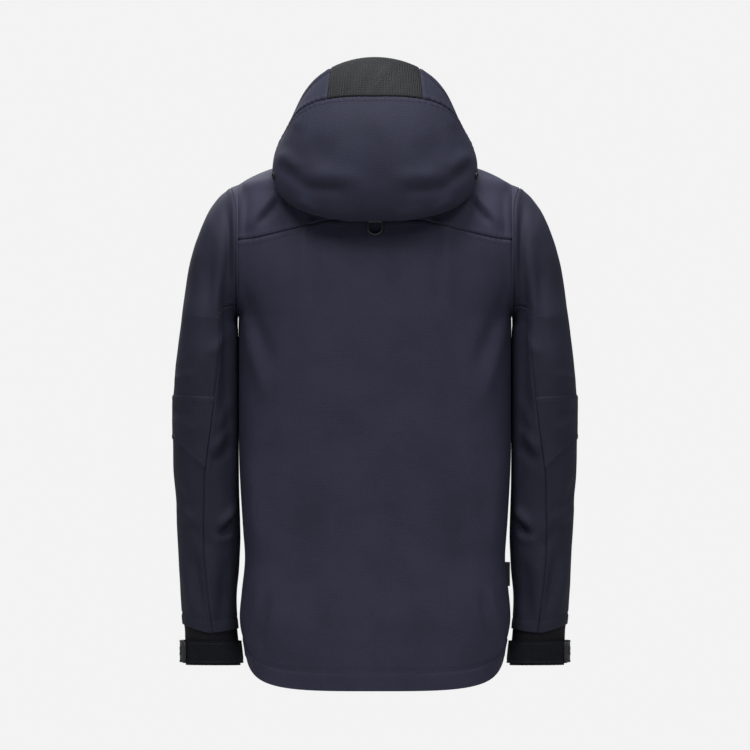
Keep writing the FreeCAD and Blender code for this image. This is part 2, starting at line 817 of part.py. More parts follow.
def ribbed(u, v):
    s = mix(RIB_EDGE, -RIB_EDGE, u) * (1 - RIB_TAPER * v)
    return hood(s, mix(visor_seam(s) + HOOD_GAP, 1, v))


def visor(u, v):
    s = mix(HOOD_SIDE - 0.03, RIB_EDGE * (1 - RIB_TAPER * v) + HOOD_GAP, u)
    return hood(s, mix(visor_seam(s) + HOOD_GAP, 1, v))


def stiffener(u, v):
    s = mix(0.8, -0.8, u)
    return hood(s, mix(visor_seam(s) + 0.03, 0.985, v))


def hood_lining(u, v):
    s = mix(0.95, -0.95, u)
    return hood(s, mix(0.03, visor_seam(s) - 0.02, v))


panel("hood_crown", sheet_solid(crown, 41, 13, FABRIC))
panel("hood_ribbed_panel", sheet_solid(ribbed, 15, 7, FABRIC))
panel_pair("visor", sheet_solid(visor, 21, 7, FABRIC))
panel("visor_stiffener", sheet_solid(stiffener, 31, 7, 1.6, FABRIC + 0.6))
panel("hood_lining", sheet_solid(hood_lining, 35, 11, LINING, FABRIC + 2))


def neck_panel(u, v):
    """Base of the hood: from the collar seam out over the yoke to the inside of the pouch."""
    turn = math.radians(mix(58, -58, u))
    back = math.cos(turn)
    inner = Vector(88 * math.sin(turn), size("neck_offset") + 86 * back, 768 - 8 * back)
    outer = Vector(116 * math.sin(turn), 38 + 84 * back, 766 - 62 * back**2)
    middle = Vector(102 * math.sin(turn), 16 + 88 * back, 774 - 22 * back)
    w = 1 - v
    return outer * w * w + middle * (2 * w * v) + inner * v * v


panel("hood_neck_panel", sheet_solid(neck_panel, 21, 7, 1.8))


def eyelet(number, position, normal):
    """A pressed ring round a cord's exit: a revolved washer."""
    body = new_body("eyelet_%d" % number)
    half = new_sketch(body, "eyelet_section_%d" % number, "XZ_Plane")
    hole = size("eyelet_hole")
    rim_radius = size("eyelet_rim")
    thick = size("eyelet_thickness")
    corners = [(hole, 0), (rim_radius, 0), (rim_radius, thick), (hole, thick)]
    for i in range(4):
        a = Vector(corners[i][0], corners[i][1], 0)
        b = Vector(corners[(i + 1) % 4][0], corners[(i + 1) % 4][1], 0)
        half.addGeometry(Part.LineSegment(a, b), False)
    turned = body.newObject("PartDesign::Revolution", "eyelet_turned_%d" % number)
    turned.Profile = half
    turned.ReferenceAxis = (half, ["V_Axis"])
    turned.Angle = 360
    doc.recompute()
    shape = body.Shape.copy()
    shape.Placement = FreeCAD.Placement(position, FreeCAD.Rotation(Vector(0, 0, 1), normal))
    return shape


def outward_on(surface, s, v):
    step = 1e-3
    normal = (surface(s + step, v) - surface(s - step, v)).cross(surface(s, v + step) - surface(s, v - step))
    normal.normalize()
    return normal


hood_rings = []
for number, s in ((0, 0.9), (1, -0.9)):
    normal = outward_on(hood, s, 0.45) * -1
    hood_rings.append(eyelet(number, hood(s, 0.45) + normal * 0.6, normal))
panel("hood_eyelets", Part.makeCompound(hood_rings))

hem_rings = []
for number, side in ((2, 1), (3, -1)):
    spot = torso_section(ZIP_SIDE, 0.75, 62)
    ahead = torso_section(ZIP_SIDE, 0.77, 62) - torso_section(ZIP_SIDE, 0.73, 62)
    normal = ahead.cross(Vector(0, 0, 1))
    normal.normalize()
    spot = spot + normal * 1.4
    hem_rings.append(eyelet(number, Vector(side * spot.x, spot.y, spot.z),
                            Vector(side * normal.x, normal.y, normal.z)))
panel("hem_eyelets", Part.makeCompound(hem_rings))


# ---------------------------------------------------------------- check and write

doc.recompute()
for item in doc.Objects:
    if "Invalid" in item.State or "Error" in item.State:
        raise RuntimeError("%s failed to compute" % item.Label)
for item in subparts:
    if item.Shape.isNull() or not item.Shape.isValid():
        raise RuntimeError("%s has no valid shape" % item.Label)
for item in subparts:
    item.Shape.exportStep("parts/%s.step" % item.Label)
print("%d sub-parts written" % len(subparts))
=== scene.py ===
import math

import bpy
import numpy as np
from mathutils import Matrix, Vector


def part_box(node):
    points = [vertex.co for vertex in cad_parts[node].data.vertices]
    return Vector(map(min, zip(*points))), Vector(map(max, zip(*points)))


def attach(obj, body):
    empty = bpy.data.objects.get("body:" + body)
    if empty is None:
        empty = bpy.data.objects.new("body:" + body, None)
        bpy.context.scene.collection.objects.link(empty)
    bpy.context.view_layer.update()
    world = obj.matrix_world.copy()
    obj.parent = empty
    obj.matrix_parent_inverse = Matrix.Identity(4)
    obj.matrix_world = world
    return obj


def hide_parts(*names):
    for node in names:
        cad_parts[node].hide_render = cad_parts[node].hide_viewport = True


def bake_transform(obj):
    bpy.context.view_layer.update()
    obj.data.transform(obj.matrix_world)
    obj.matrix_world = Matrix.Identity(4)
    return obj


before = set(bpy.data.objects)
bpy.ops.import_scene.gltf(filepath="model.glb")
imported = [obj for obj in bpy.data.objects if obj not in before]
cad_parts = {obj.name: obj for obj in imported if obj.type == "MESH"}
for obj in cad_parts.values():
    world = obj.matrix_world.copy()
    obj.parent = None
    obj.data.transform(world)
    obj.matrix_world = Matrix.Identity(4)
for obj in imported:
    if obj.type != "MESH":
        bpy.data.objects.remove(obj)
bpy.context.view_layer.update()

# ------------------------------------------------------------------ camera, floor and light
# The jacket is seen straight from behind at half its height, through a long lens, so its sides stay parallel.
# A pale floor lies under it, and broad soft lights stand on both sides of the lens and overhead.
NECK = 745.0                      # mm from the lowest point of the hem up to the neck, the frame's origin
HEM_Z = -NECK / 1000
CAMERA_DISTANCE = 14.0
SEEN_WIDTH = 1.0875              # metres across the picture at the jacket's middle plane
CAMERA_HEIGHT = -0.290
LIT_HEIGHT = -0.25                # the lights point at this height


def look_at(thing, target):
    """Turn a camera or a light so that its -Z axis points at a place."""
    direction = np.array(target, float) - np.array(thing.location, float)
    flat = math.hypot(direction[0], direction[1])
    thing.rotation_euler = (math.atan2(flat, -direction[2]), 0, math.atan2(-direction[0], direction[1]))


camera_data = bpy.data.cameras.new("camera")
camera_data.lens = 36 * CAMERA_DISTANCE / SEEN_WIDTH
camera = bpy.data.objects.new("camera", camera_data)
camera.location = (0, CAMERA_DISTANCE, CAMERA_HEIGHT)
look_at(camera, (0, 0, CAMERA_HEIGHT))
bpy.context.collection.objects.link(camera)
bpy.context.scene.camera = camera
bpy.context.scene.view_settings.view_transform = "Standard"

for name, place, width, watts in (("key_light", (0.7, 1.6, 1.9), 0.9, 44),
                                  ("fill_light", (-0.9, 1.9, 1.6), 1.0, 30),
                                  ("top_light", (0.0, 0.25, 1.6), 0.8, 34),
                                  ("front_light", (0.8, -2.4, 1.8), 1.4, 60)):
    lamp_data = bpy.data.lights.new(name, "AREA")
    lamp_data.size = width
    lamp_data.energy = watts
    lamp = bpy.data.objects.new(name, lamp_data)
    lamp.location = place
    look_at(lamp, (0, 0, LIT_HEIGHT))
    bpy.context.collection.objects.link(lamp)


def add_node(tree, kind, inputs=None, **settings):
    """Add one node, with its settings and with its inputs linked or set."""
    made = tree.nodes.new(kind)
    for key, value in settings.items():
        setattr(made, key, value)
    for key, value in (inputs or {}).items():
        if isinstance(value, bpy.types.NodeSocket):
            tree.links.new(value, made.inputs[key])
        else:
            made.inputs[key].default_value = value
    return made


BACKDROP = (0.896, 0.896, 0.896, 1.0)      # what the camera sees behind the jacket
SKY = (0.92, 0.94, 1.0, 1.0)               # what lights it from all round
world = bpy.data.worlds.new("studio")
world.use_nodes = True
world.node_tree.nodes.clear()
seen = add_node(world.node_tree, "ShaderNodeBackground", {"Color": BACKDROP, "Strength": 1.0})
glow = add_node(world.node_tree, "ShaderNodeBackground", {"Color": SKY, "Strength": 0.24})
path = add_node(world.node_tree, "ShaderNodeLightPath")
studio = add_node(world.node_tree, "ShaderNodeMixShader", {0: path.outputs["Is Camera Ray"], 1: glow.outputs[0],
                                                           2: seen.outputs[0]})
add_node(world.node_tree, "ShaderNodeOutputWorld", {"Surface": studio.outputs[0]})
bpy.context.scene.world = world

PALE = (0.55, 0.55, 0.555, 1.0)
FLOOR_HALF = 2.0
FLOOR_Z = HEM_Z - 0.20
FLOOR_CORNERS = ((-1, -1), (1, -1), (1, 1), (-1, 1))
floor_mesh = bpy.data.meshes.new("floor")
floor_mesh.from_pydata([(x * FLOOR_HALF, y * FLOOR_HALF, FLOOR_Z) for x, y in FLOOR_CORNERS], [],
                       [(0, 1, 2, 3)])
floor = bpy.data.objects.new("floor", floor_mesh)
bpy.context.collection.objects.link(floor)
floor_paint = bpy.data.materials.new("pale_floor")
floor_paint.use_nodes = True
paint_shader = floor_paint.node_tree.nodes["Principled BSDF"]
paint_shader.inputs["Base Color"].default_value = PALE
paint_shader.inputs["Roughness"].default_value = 0.9
floor_mesh.materials.append(floor_paint)


# ------------------------------------------------------------------ shell cloth
# Three-layer laminate: a tightly woven, dyed polyester face with a water-repellent finish, bonded to a
# membrane. It looks matt and slightly chalky, with a fine even grain and a soft bloom at grazing angles.
def linear(code):
    """sRGB hex colour to linear RGBA."""
    values = [int(code[i:i + 2], 16) / 255 for i in (1, 3, 5)]
    return tuple(v / 12.92 if v <= 0.04045 else ((v + 0.055) / 1.055)**2.4 for v in values) + (1.0,)


def cloth_material(name, dark, light, thread, relief, roughness=0.8, sheen=0.25, twill=0.0, fuzz=0.0):
    """Woven or knitted cloth: two crossed sets of threads with slight dye variation. thread is half the drawn
    spacing in mm, relief the height of the grain in mm, and twill turns the weave, in radians."""
    material = bpy.data.materials.new(name)
    material.use_nodes = True
    tree = material.node_tree
    tree.nodes.clear()
    place = add_node(tree, "ShaderNodeUVMap", uv_map="cloth")
    turned_uv = add_node(tree, "ShaderNodeMapping", {"Vector": place.outputs["UV"], "Rotation": (0, 0, twill)})
    bands = []
    for direction in ("X", "Y"):
        wave = add_node(tree, "ShaderNodeTexWave", {"Vector": turned_uv.outputs["Vector"], "Distortion": 0.6,
                                                    "Detail": 1.0, "Detail Scale": 3.0,
                                                    "Scale": 1000 / thread / 20 * math.pi},
                        wave_type="BANDS", bands_direction=direction, wave_profile="SIN")
        bands.append(wave.outputs["Fac"])
    weave = add_node(tree, "ShaderNodeMath", {0: bands[0], 1: bands[1]}, operation="MULTIPLY")
    grain = add_node(tree, "ShaderNodeTexNoise", {"Vector": place.outputs["UV"], "Scale": 420.0, "Detail": 3.0})
    cloud = add_node(tree, "ShaderNodeTexNoise", {"Vector": place.outputs["UV"], "Scale": 14.0, "Detail": 2.0})
    blend = add_node(tree, "ShaderNodeMath", {0: grain.outputs["Fac"], 1: cloud.outputs["Fac"]},
                     operation="MULTIPLY")
    dye = add_node(tree, "ShaderNodeMapRange", {"Value": blend.outputs[0], "From Min": 0.12, "From Max": 0.40})
    colour = add_node(tree, "ShaderNodeMix", {"Factor": dye.outputs["Result"], "A": linear(dark),
                                              "B": linear(light)}, data_type="RGBA")
    height = add_node(tree, "ShaderNodeMath", {0: grain.outputs["Fac"], 1: 0.4 + fuzz, 2: weave.outputs[0]},
                      operation="MULTIPLY_ADD")
    bump = add_node(tree, "ShaderNodeBump", {"Height": height.outputs[0], "Distance": relief / 1000,
                                             "Strength": 0.7})
    shader = add_node(tree, "ShaderNodeBsdfPrincipled", {
        "Base Color": colour.outputs["Result"], "Roughness": roughness, "Sheen Weight": sheen,
        "Sheen Roughness": 0.45, "Sheen Tint": linear(light), "Specular IOR Level": 0.25,
        "Normal": bump.outputs["Normal"]})
    add_node(tree, "ShaderNodeOutputMaterial", {"Surface": shader.outputs[0]})
    return material


# The real threads are 0.35 mm apart; they are drawn 2.6 mm apart, about the finest that still shows. The
# sleeves and, further down, the hood are the same cloth, coloured a shade darker: painted shade.
SHELL_CLOTH = cloth_material("laminated_polyester_shell", "#242434", "#2B2B3D", 1.3, 0.22)
# Painted shade: the sleeves' copy of the shell cloth is darker only because less light falls on them.
SLEEVE_CLOTH_PAINTED_SHADE = cloth_material("laminated_polyester_sleeves_painted_shade", "#1C1C2A", "#222232", 1.3, 0.22)


def follow(stations, at, column=1):
    """Smooth curve through (position, value) stations, in mm."""
    places = np.array([station[0] for station in stations], float)
    values = np.array([station[column] for station in stations], float)
    last = len(places) - 1
    index = np.arange(last + 1)
    low = np.maximum(index - 1, 0)
    high = np.minimum(index + 1, last)
    slope = (values[high] - values[low]) / (places[high] - places[low])
    at = np.clip(at, places[0], places[-1])
    k = np.clip(np.searchsorted(places, at, side="right") - 1, 0, last - 1)
    span = places[k + 1] - places[k]
    f = (at - places[k]) / span
    start = (2 * f**3 - 3 * f**2 + 1) * values[k] + (f**3 - 2 * f**2 + f) * span * slope[k]
    return start + (3 * f**2 - 2 * f**3) * values[k + 1] + (f**3 - f**2) * span * slope[k + 1]


def mix(a, b, f):
    return a + (b - a) * f


def stack(x, y, z):
    return np.stack(np.broadcast_arrays(x, y, z), -1).astype(float)


def normals_of(points, closed=False):
    """Outward unit normals of a grid of points: along u crossed with along v. closed joins u end to end."""
    if closed:
        return normals_of(np.concatenate([points[-1:], points, points[:1]]))[1:-1]
    n = np.cross(np.gradient(points, axis=0), np.gradient(points, axis=1))
    return n / np.maximum(np.linalg.norm(n, axis=2, keepdims=True), 1e-9)


def edge_distances(points):
    """Distance over the cloth from each grid point to the left, right, bottom and top edges."""
    across = np.cumsum(np.linalg.norm(np.diff(points, axis=0, prepend=points[:1]), axis=2), axis=0)
    upward = np.cumsum(np.linalg.norm(np.diff(points, axis=1, prepend=points[:, :1]), axis=2), axis=1)
    return {"l": across, "r": across[-1:] - across, "b": upward, "t": upward[:, -1:] - upward}


EDGE_ROWS = np.array((0, 0.7, 1.5, 2.6, 4.2, 6.5, 9.5))      # mm from a seam to the mesh rows beside it


def spread(length, count):
    """Positions from 0 to 1 over a length in mm, closer together beside both edges."""
    edge = EDGE_ROWS / length
    return np.concatenate([edge, np.linspace(edge[-1], 1 - edge[-1], count)[1:-1], 1 - edge[::-1]])


def grid(surface, across, upward):
    u, v = np.meshgrid(across, upward, indexing="ij")
    return surface(u, v)


def smooth(low, high, value):
    f = np.clip((value - low) / (high - low), 0, 1)
    return f * f * (3 - 2 * f)


def bump_at(distance, place, width):
    """1 at a place and fading out over a width on both sides: a pressed line or a raised one, by its sign."""
    return np.exp(-((distance - place) / width)**2)


def raised(points, lift):
    """The same surface, lifted along its normals by lift mm at each point."""
    return points + normals_of(points) * lift[..., None]


SEAM_DEPTH = 1.5
SEAM_ROLL = 0.55


def seam_lift(distance):
    """Height of the cloth beside a seam: sunk into the stitch line, then puffed over the seam allowance."""
    return SEAM_ROLL * bump_at(distance, 5.0, 2.6) - SEAM_DEPTH * bump_at(distance, 0, 1.3)


def fold_lift(points, normals, folds, side):
    """Soft folds: each is (x, z, x, z, width, height) in mm, seen from the back (side 1) or front (-1)."""
    facing = smooth(-0.05, 0.35, normals[..., 1] * side)
    x = points[..., 0]
    z = points[..., 2]
    lift = np.zeros(x.shape)
    for x0, z0, x1, z1, width, height in folds:
        length = math.hypot(x1 - x0, z1 - z0)
        along = ((x - x0) * (x1 - x0) + (z - z0) * (z1 - z0)) / length**2
        gap = ((x - x0) * (z1 - z0) - (z - z0) * (x1 - x0)) / length
        lift += height * np.exp(-(np.abs(2 * along - 1) / 1.1)**4 - (gap / width)**2)
    return lift * facing


def ripple(points, seed, size, height):
    """Gentle unevenness of hanging cloth, `size` mm from crest to crest."""
    draw = np.random.default_rng(seed)
    lift = np.zeros(points.shape[:2])
    for _ in range(7):
        direction = draw.normal(size=3)
        direction /= np.linalg.norm(direction)
        length = size * draw.uniform(0.7, 1.7)
        lift += np.sin(points @ direction * (2 * math.pi / length) + draw.uniform(0, 6.28))
    return lift * height / 7


def pucker(distance, run, seed, height=0.35, pitch=9.0):
    """Small gathers beside a stitched edge; run is the distance along that edge."""
    draw = np.random.default_rng(seed)
    wave = np.sin(run * 2 * math.pi / pitch + 1.8 * np.sin(run / (pitch * 2.3) + draw.uniform(0, 6.28)))
    return height * wave * bump_at(distance, 0, 9.0) * smooth(0, 2.0, distance)


CREASE = 1.7                      # depth of the folds, as a multiple of the heights in the lists


def formed(points, seams="", folds=(), side=1, seed=1, wave=0.9, size=120.0, puckers="", side_top=9999.0):
    """Give a plain surface its seams, folds and unevenness; side seams end at the height side_top."""
    normals = normals_of(points)
    distances = edge_distances(points)
    lift = ripple(points, seed, size, wave) + ripple(points, seed + 50, size / 3.2, wave * 0.3)
    lift += CREASE * fold_lift(points, normals, folds, side)
    lift *= 1 - 0.9 * smooth(186, 194, np.abs(points[..., 0])) * smooth(230, 300, points[..., 2])
    for edge in seams:
        fade = smooth(side_top + 4, side_top - 12, points[..., 2]) if edge in "lr" else 1
        lift += seam_lift(distances[edge]) * fade
    for edge in puckers:
        run = distances["l"] if edge in "bt" else distances["b"]
        lift += pucker(distances[edge], run, seed)
    return points + normals * lift[..., None]


def to_frame(points):
    """Hem-based millimetres to metres from the neck."""
    return (points - np.array((0, 0, NECK))) / 1000


def mesh_object(name, vertices, faces, uv, material):
    mesh = bpy.data.meshes.new(name)
    mesh.vertices.add(len(vertices))
    mesh.vertices.foreach_set("co", np.asarray(vertices, np.float32).ravel())
    mesh.loops.add(faces.size)
    mesh.loops.foreach_set("vertex_index", faces.astype(np.int32).ravel())
    mesh.polygons.add(len(faces))
    mesh.polygons.foreach_set("loop_start", np.arange(0, faces.size, 4, dtype=np.int32))
    layer = mesh.uv_layers.new(name="cloth")
    layer.data.foreach_set("uv", uv[faces.ravel()].astype(np.float32).ravel())
    mesh.polygons.foreach_set("use_smooth", np.ones(len(faces), bool))
    mesh.update(calc_edges=True)
    mesh.validate()
    mesh.materials.append(material)
    thing = bpy.data.objects.new(name, mesh)
    bpy.context.collection.objects.link(thing)
    return thing


def quads(nu, nv, wrap_u=False, wrap_v=False):
    """Quads of a grid of nu by nv vertices, counter-clockwise seen from outside."""
    i, j = np.meshgrid(np.arange(nu if wrap_u else nu - 1), np.arange(nv if wrap_v else nv - 1), indexing="ij")
    i = i.ravel()
    j = j.ravel()
    a = (i + 1) % nu
    b = (j + 1) % nv
    return np.stack([i * nv + j, a * nv + j, a * nv + b, i * nv + b], 1)


def cloth_piece(name, points, material, thickness=1.3, closed=False, nodes=()):
    """A cut panel of cloth: its outer face, an inner face and the cut edges. closed joins u end to end."""
    nu, nv = points.shape[:2]
    normals = normals_of(points, closed)
    distances = edge_distances(points)
    middle = distances["l"][:, nv // 2]
    uv = np.stack([np.repeat(middle, nv), distances["b"].ravel()], 1) / 1000
    outer = quads(nu, nv, wrap_u=closed)
    count = nu * nv
    inner = outer[:, ::-1] + count
    walls = []
    i = np.arange(nu if closed else nu - 1)
    k = (i + 1) % nu
    walls.append(np.stack([k * nv, i * nv, i * nv + count, k * nv + count], 1))
    top = nv - 1
    walls.append(np.stack([i * nv + top, k * nv + top, k * nv + top + count, i * nv + top + count], 1))
    if not closed:
        j = np.arange(nv - 1)
        walls.append(np.stack([j, j + 1, j + 1 + count, j + count], 1))
        last = (nu - 1) * nv
        walls.append(np.stack([last + j + 1, last + j, last + j + count, last + j + 1 + count], 1))
    faces = to_frame(np.stack([points, points - normals * thickness]))
    thing = mesh_object(name, faces.reshape(-1, 3), np.concatenate([outer, inner] + walls),
                        np.concatenate([uv, uv]), material)
    if nodes:
        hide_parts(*nodes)
    return thing


def ring_piece(name, loops, material, closed=False, nodes=()):
    """A solid strip or bar: loops[i, j] is a closed section j at each station i, capped at both ends."""
    loops = np.asarray(loops, float)
    nu, nv = loops.shape[:2]
    faces = quads(nu, nv, wrap_u=closed, wrap_v=True)
    vertices = loops.reshape(-1, 3)
    run = np.cumsum(np.linalg.norm(np.diff(loops[:, 0], axis=0, prepend=loops[:1, 0]), axis=1))
    girth = np.cumsum(np.linalg.norm(np.diff(loops[0], axis=0, prepend=loops[0, :1]), axis=1))
    uv = np.stack([np.repeat(run, nv), np.tile(girth, nu)], 1) / 1000
    if not closed:
        ends = loops[[0, -1]].mean(axis=1)
        vertices = np.concatenate([vertices, ends])
        uv = np.concatenate([uv, uv[[0, -1]]])
        j = np.arange(0, nv, 2)
        n, m = (j + 1) % nv, (j + 2) % nv
        first, last = nu * nv, nu * nv + 1
        base = (nu - 1) * nv
        faces = np.concatenate([faces, np.stack([np.full(len(j), first), j, n, m], 1),
                                np.stack([np.full(len(j), last), base + m, base + n, base + j], 1)])
    corners = vertices[faces]
    volume = np.einsum("ij,ij->i", corners[:, 0], np.cross(corners[:, 2] - corners[:, 0],
                                                           corners[:, 3] - corners[:, 1])).sum()
    if volume < 0:
        faces = faces[:, ::-1]
    thing = mesh_object(name, to_frame(vertices), faces, uv, material)
    if nodes:
        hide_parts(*nodes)
    return thing


# ------------------------------------------------------------------ stitches
# Lockstitch in bonded polyester thread, a shade lighter than the cloth, about three stitches to the
# centimetre, in double rows beside the felled seams and a single row at hems and edges.
THREAD = cloth_material("bonded_polyester_thread", "#232332", "#2C2C3C", 0.6, 0.05, roughness=0.6)


def row_tree(name, sizes, small_shape, along=False):
    """A tree that sets a small shape at an even pitch on every polyline, turned along it if need be. sizes are
    the names and kinds of the inputs that the shape needs."""
    tree = bpy.data.node_groups.new(name, "GeometryNodeTree")
    for label, kind in (("Rows", "Geometry"), ("Pitch", "Float")) + sizes + (("Finish", "Material"),):
        tree.interface.new_socket(label, in_out="INPUT", socket_type="NodeSocket" + kind)
    tree.interface.new_socket("Row", in_out="OUTPUT", socket_type="NodeSocketGeometry")
    entry = add_node(tree, "NodeGroupInput")
    curve = add_node(tree, "GeometryNodeMeshToCurve", {"Mesh": entry.outputs["Rows"]})
    dots = add_node(tree, "GeometryNodeCurveToPoints", {"Curve": curve.outputs[0],
                                                        "Length": entry.outputs["Pitch"]}, mode="LENGTH")
    places = {"Points": dots.outputs["Points"], "Instance": small_shape(tree, entry)}
    if along:
        places["Rotation"] = dots.outputs["Rotation"]
    laid = add_node(tree, "GeometryNodeInstanceOnPoints", places)
    real = add_node(tree, "GeometryNodeRealizeInstances", {"Geometry": laid.outputs[0]})
    dyed = add_node(tree, "GeometryNodeSetMaterial", {"Geometry": real.outputs[0],
                                                      "Material": entry.outputs["Finish"]})
    add_node(tree, "NodeGroupOutput", {"Row": dyed.outputs[0]})
    return tree


def thread_bead(tree, entry):
    return add_node(tree, "GeometryNodeMeshCylinder", {"Vertices": 6, "Radius": entry.outputs["Thread Radius"],
                                                       "Depth": entry.outputs["Stitch Length"]}).outputs["Mesh"]


stitch_tree = row_tree("stitch_rows", (("Thread Radius", "Float"), ("Stitch Length", "Float")), thread_bead,
                       along=True)


def grown(name, tree, lines, values):
    """Run a tree along polylines (lists of points in mm) and keep the result as a plain mesh."""
    vertices = []
    edges = []
    for line in lines:
        start = len(vertices)
        vertices.extend(to_frame(np.asarray(line)).tolist())
        edges.extend((start + i, start + i + 1) for i in range(len(line) - 1))
    mesh = bpy.data.meshes.new(name + "_rows")
    mesh.from_pydata(vertices, edges, [])
    source = bpy.data.objects.new(name + "_rows", mesh)
    bpy.context.collection.objects.link(source)
    modifier = source.modifiers.new("rows", "NODES")
    modifier.node_group = tree
    for item in tree.interface.items_tree:
        if item.in_out == "INPUT" and item.name in values:
            modifier[item.identifier] = values[item.name]
    graph = bpy.context.evaluated_depsgraph_get()
    result = bpy.data.meshes.new_from_object(source.evaluated_get(graph), depsgraph=graph)
    result.name = name
    bpy.data.objects.remove(source)
    thing = bpy.data.objects.new(name, result)
    bpy.context.collection.objects.link(thing)
    return thing


def stitches(name, lines):
    return grown(name, stitch_tree, lines, {"Pitch": 0.0033, "Thread Radius": 0.00028, "Stitch Length": 0.0024,
                                            "Finish": THREAD})


def stitch_row(points, edge, distance):
    """A line over the cloth, a fixed distance in from one of its edges."""
    columns = points if edge in "bt" else points.transpose(1, 0, 2)
    row = []
    for column in columns:
        run = np.concatenate([[0], np.cumsum(np.linalg.norm(np.diff(column, axis=0), axis=1))])
        at = distance if edge in "bl" else run[-1] - distance
        row.append([np.interp(at, run, column[:, k]) for k in range(3)])
    return np.array(row)


# ------------------------------------------------------------------ body: back panel, yoke and fronts
# The body is a slightly squared oval column that rests on the shoulders and ends at the armholes. The back
# panel meets the yoke in an arched, double-stitched seam; the hem is longer at the back and curves up.
# Outlines are lists of (height, measure) in mm, joined by smooth curves; folds are as in fold_lift.
SIDES = (("left", 1), ("right", -1))
HALF_WIDTH = [(0, 186), (30, 185), (56, 188), (100, 195.5), (140, 193), (187, 188), (240, 191.5), (330, 196.3),
              (419, 197.2), (520, 197.4)]
BACK_DEPTH = [(0, 113), (100, 110), (200, 102), (320, 104), (540, 115)]
FRONT_HEM, SIDE_HEM = 12.0, 50.0
SPLIT = 540.0                    # height of the armpits, where the shaping changes
HALF_CHEST = 197.4
SHOULDER_TIP, SHOULDER_RISE = 731.0, 33.0
NECK_HALF_WIDTH, NECK_HALF_DEPTH, NECK_OFFSET = 82.0, 78.5, -16.0
NECK_BACK, NECK_FRONT, NECK_SIDE = 748.0, 735.0, 764.0
ARMHOLE_DEPTH = 82.0
ROUNDNESS = 0.8
NECK_SHARE = 0.42
BACK, FRONT = 1, -1


ZIP_SLOPE = 0.0321               # the front leans back by this much per mm of height


def zip_depth(height):
    return 118 - (height - FRONT_HEM) * ZIP_SLOPE


def torso_section(side, q, height):
    """Body oval: q is 0 at the centre line and 1 or -1 at the side seams."""
    angle = q * math.pi / 2
    deep = follow(BACK_DEPTH, height) if side == BACK else zip_depth(height)
    x = follow(HALF_WIDTH, height) * np.sign(q) * np.abs(np.sin(angle))**ROUNDNESS
    return stack(x, side * deep * np.maximum(np.cos(angle), 0)**ROUNDNESS, height)


def shoulder_line(side, q):
    """Top edge of the body: half of the neck ring, then the shoulder seam out to its tip."""
    across = np.abs(q)
    ring = np.minimum(across / NECK_SHARE, 1)
    turn = math.radians(75 if side == BACK else 105) * ring
    out = np.clip((across - NECK_SHARE) / (1 - NECK_SHARE), 0, 1)
    x = mix(NECK_HALF_WIDTH * np.sin(turn), HALF_CHEST, out)
    y = (NECK_OFFSET + side * NECK_HALF_DEPTH * np.cos(turn)) * (1 - out)
    z = mix(NECK_BACK if side == BACK else NECK_FRONT, NECK_SIDE, ring**2) - SHOULDER_RISE * out**2.2
    return np.sign(q) * x, y, z


def torso_upper(side, q, t):
    foot = torso_section(side, q, np.full_like(q, SPLIT))
    top_x, top_y, top_z = shoulder_line(side, q)
    full = q * q
    low = np.sin(np.radians(-90 * full))
    rise = (np.sin(np.radians(mix(-90 * full, 90, t))) - low) / (1 - low)
    y = top_y + (foot[..., 1] - top_y) * np.maximum(np.cos(t * math.pi / 2), 0)**0.6
    y = y + side * ARMHOLE_DEPTH * full * np.sin(math.pi * t)
    return stack(mix(foot[..., 0], top_x, t), y, mix(SPLIT, top_z, rise))


def hem_height(side, q):
    return mix(0 if side == BACK else FRONT_HEM, SIDE_HEM, np.abs(q)**3)


def torso(side, q, v):
    """v is 0 to 1 from the hem to the armpits and 1 to 2 up to the shoulder line."""
    lower = torso_section(side, q, mix(hem_height(side, q), SPLIT, np.minimum(v, 1)))
    return np.where((v <= 1)[..., None], lower, torso_upper(side, q, np.clip(v - 1, 0, 1)))


YOKE_TOP, YOKE_ARCH = 678, 28


def yoke_level(q):
    """Level v of the yoke seam, which arches from the armholes up to the middle of the back."""
    share = np.abs(np.sin(q * math.pi / 2))**ROUNDNESS
    height = YOKE_TOP - YOKE_ARCH * np.clip((share - 0.4) / 0.6, 0, 1)**1.2
    full = q * q
    low = np.sin(np.radians(-90 * full))
    rise = (height - SPLIT) / (shoulder_line(BACK, q)[2] - SPLIT)
    angle = np.degrees(np.arcsin(low + rise * (1 - low)))
    return 1 + (angle + 90 * full) / (90 + 90 * full)


def back_lower(u, v):
    q = mix(1.0, -1.0, u)
    return torso(BACK, q, yoke_level(q) * v)


def back_upper(u, v):
    q = mix(1.0, -1.0, u)
    return torso(BACK, q, mix(yoke_level(q), 2.0, v))


def both(folds):
    """The same folds on both sides of the centre line."""
    return list(folds) + [(-x0, z0, -x1, z1, width, height) for x0, z0, x1, z1, width, height in folds]


BACK_FOLDS = both([(88, 676, 93, 560, 9, -1.5), (101, 672, 106, 570, 9, 1.2), (120, 540, 130, 120, 26, -2.4),
                   (60, 600, 52, 90, 30, 1.8), (192, 575, 150, 470, 13, -2.6), (194, 545, 160, 430, 10, 2.0),
                   (167, 140, 180, 70, 7, 3.0), (157, 132, 168, 66, 7, -2.0), (181, 330, 172, 210, 12, 2.0),
                   (150, 420, 160, 250, 16, -1.6)])
BACK_FOLDS += [(0, 300, 10, 80, 34, -1.5), (-30, 470, 24, 400, 22, 0.8)]
YOKE_FOLDS = both([(137, 722, 178, 673, 9, 3.0), (132, 714, 166, 676, 7, -4.0), (143, 734, 197, 727, 9, 2.0),
                   (88, 690, 88, 678, 5, -1.5), (185, 712, 192, 650, 8, -1.5)])

COLUMNS = spread(600, 150)
back_points = formed(grid(back_lower, COLUMNS, spread(820, 200)), "lrt", BACK_FOLDS, seed=3, wave=1.1, size=150,
                     puckers="t", side_top=SPLIT)
HEM_ROW = 27.0                   # height of the hem's stitch line above its edge


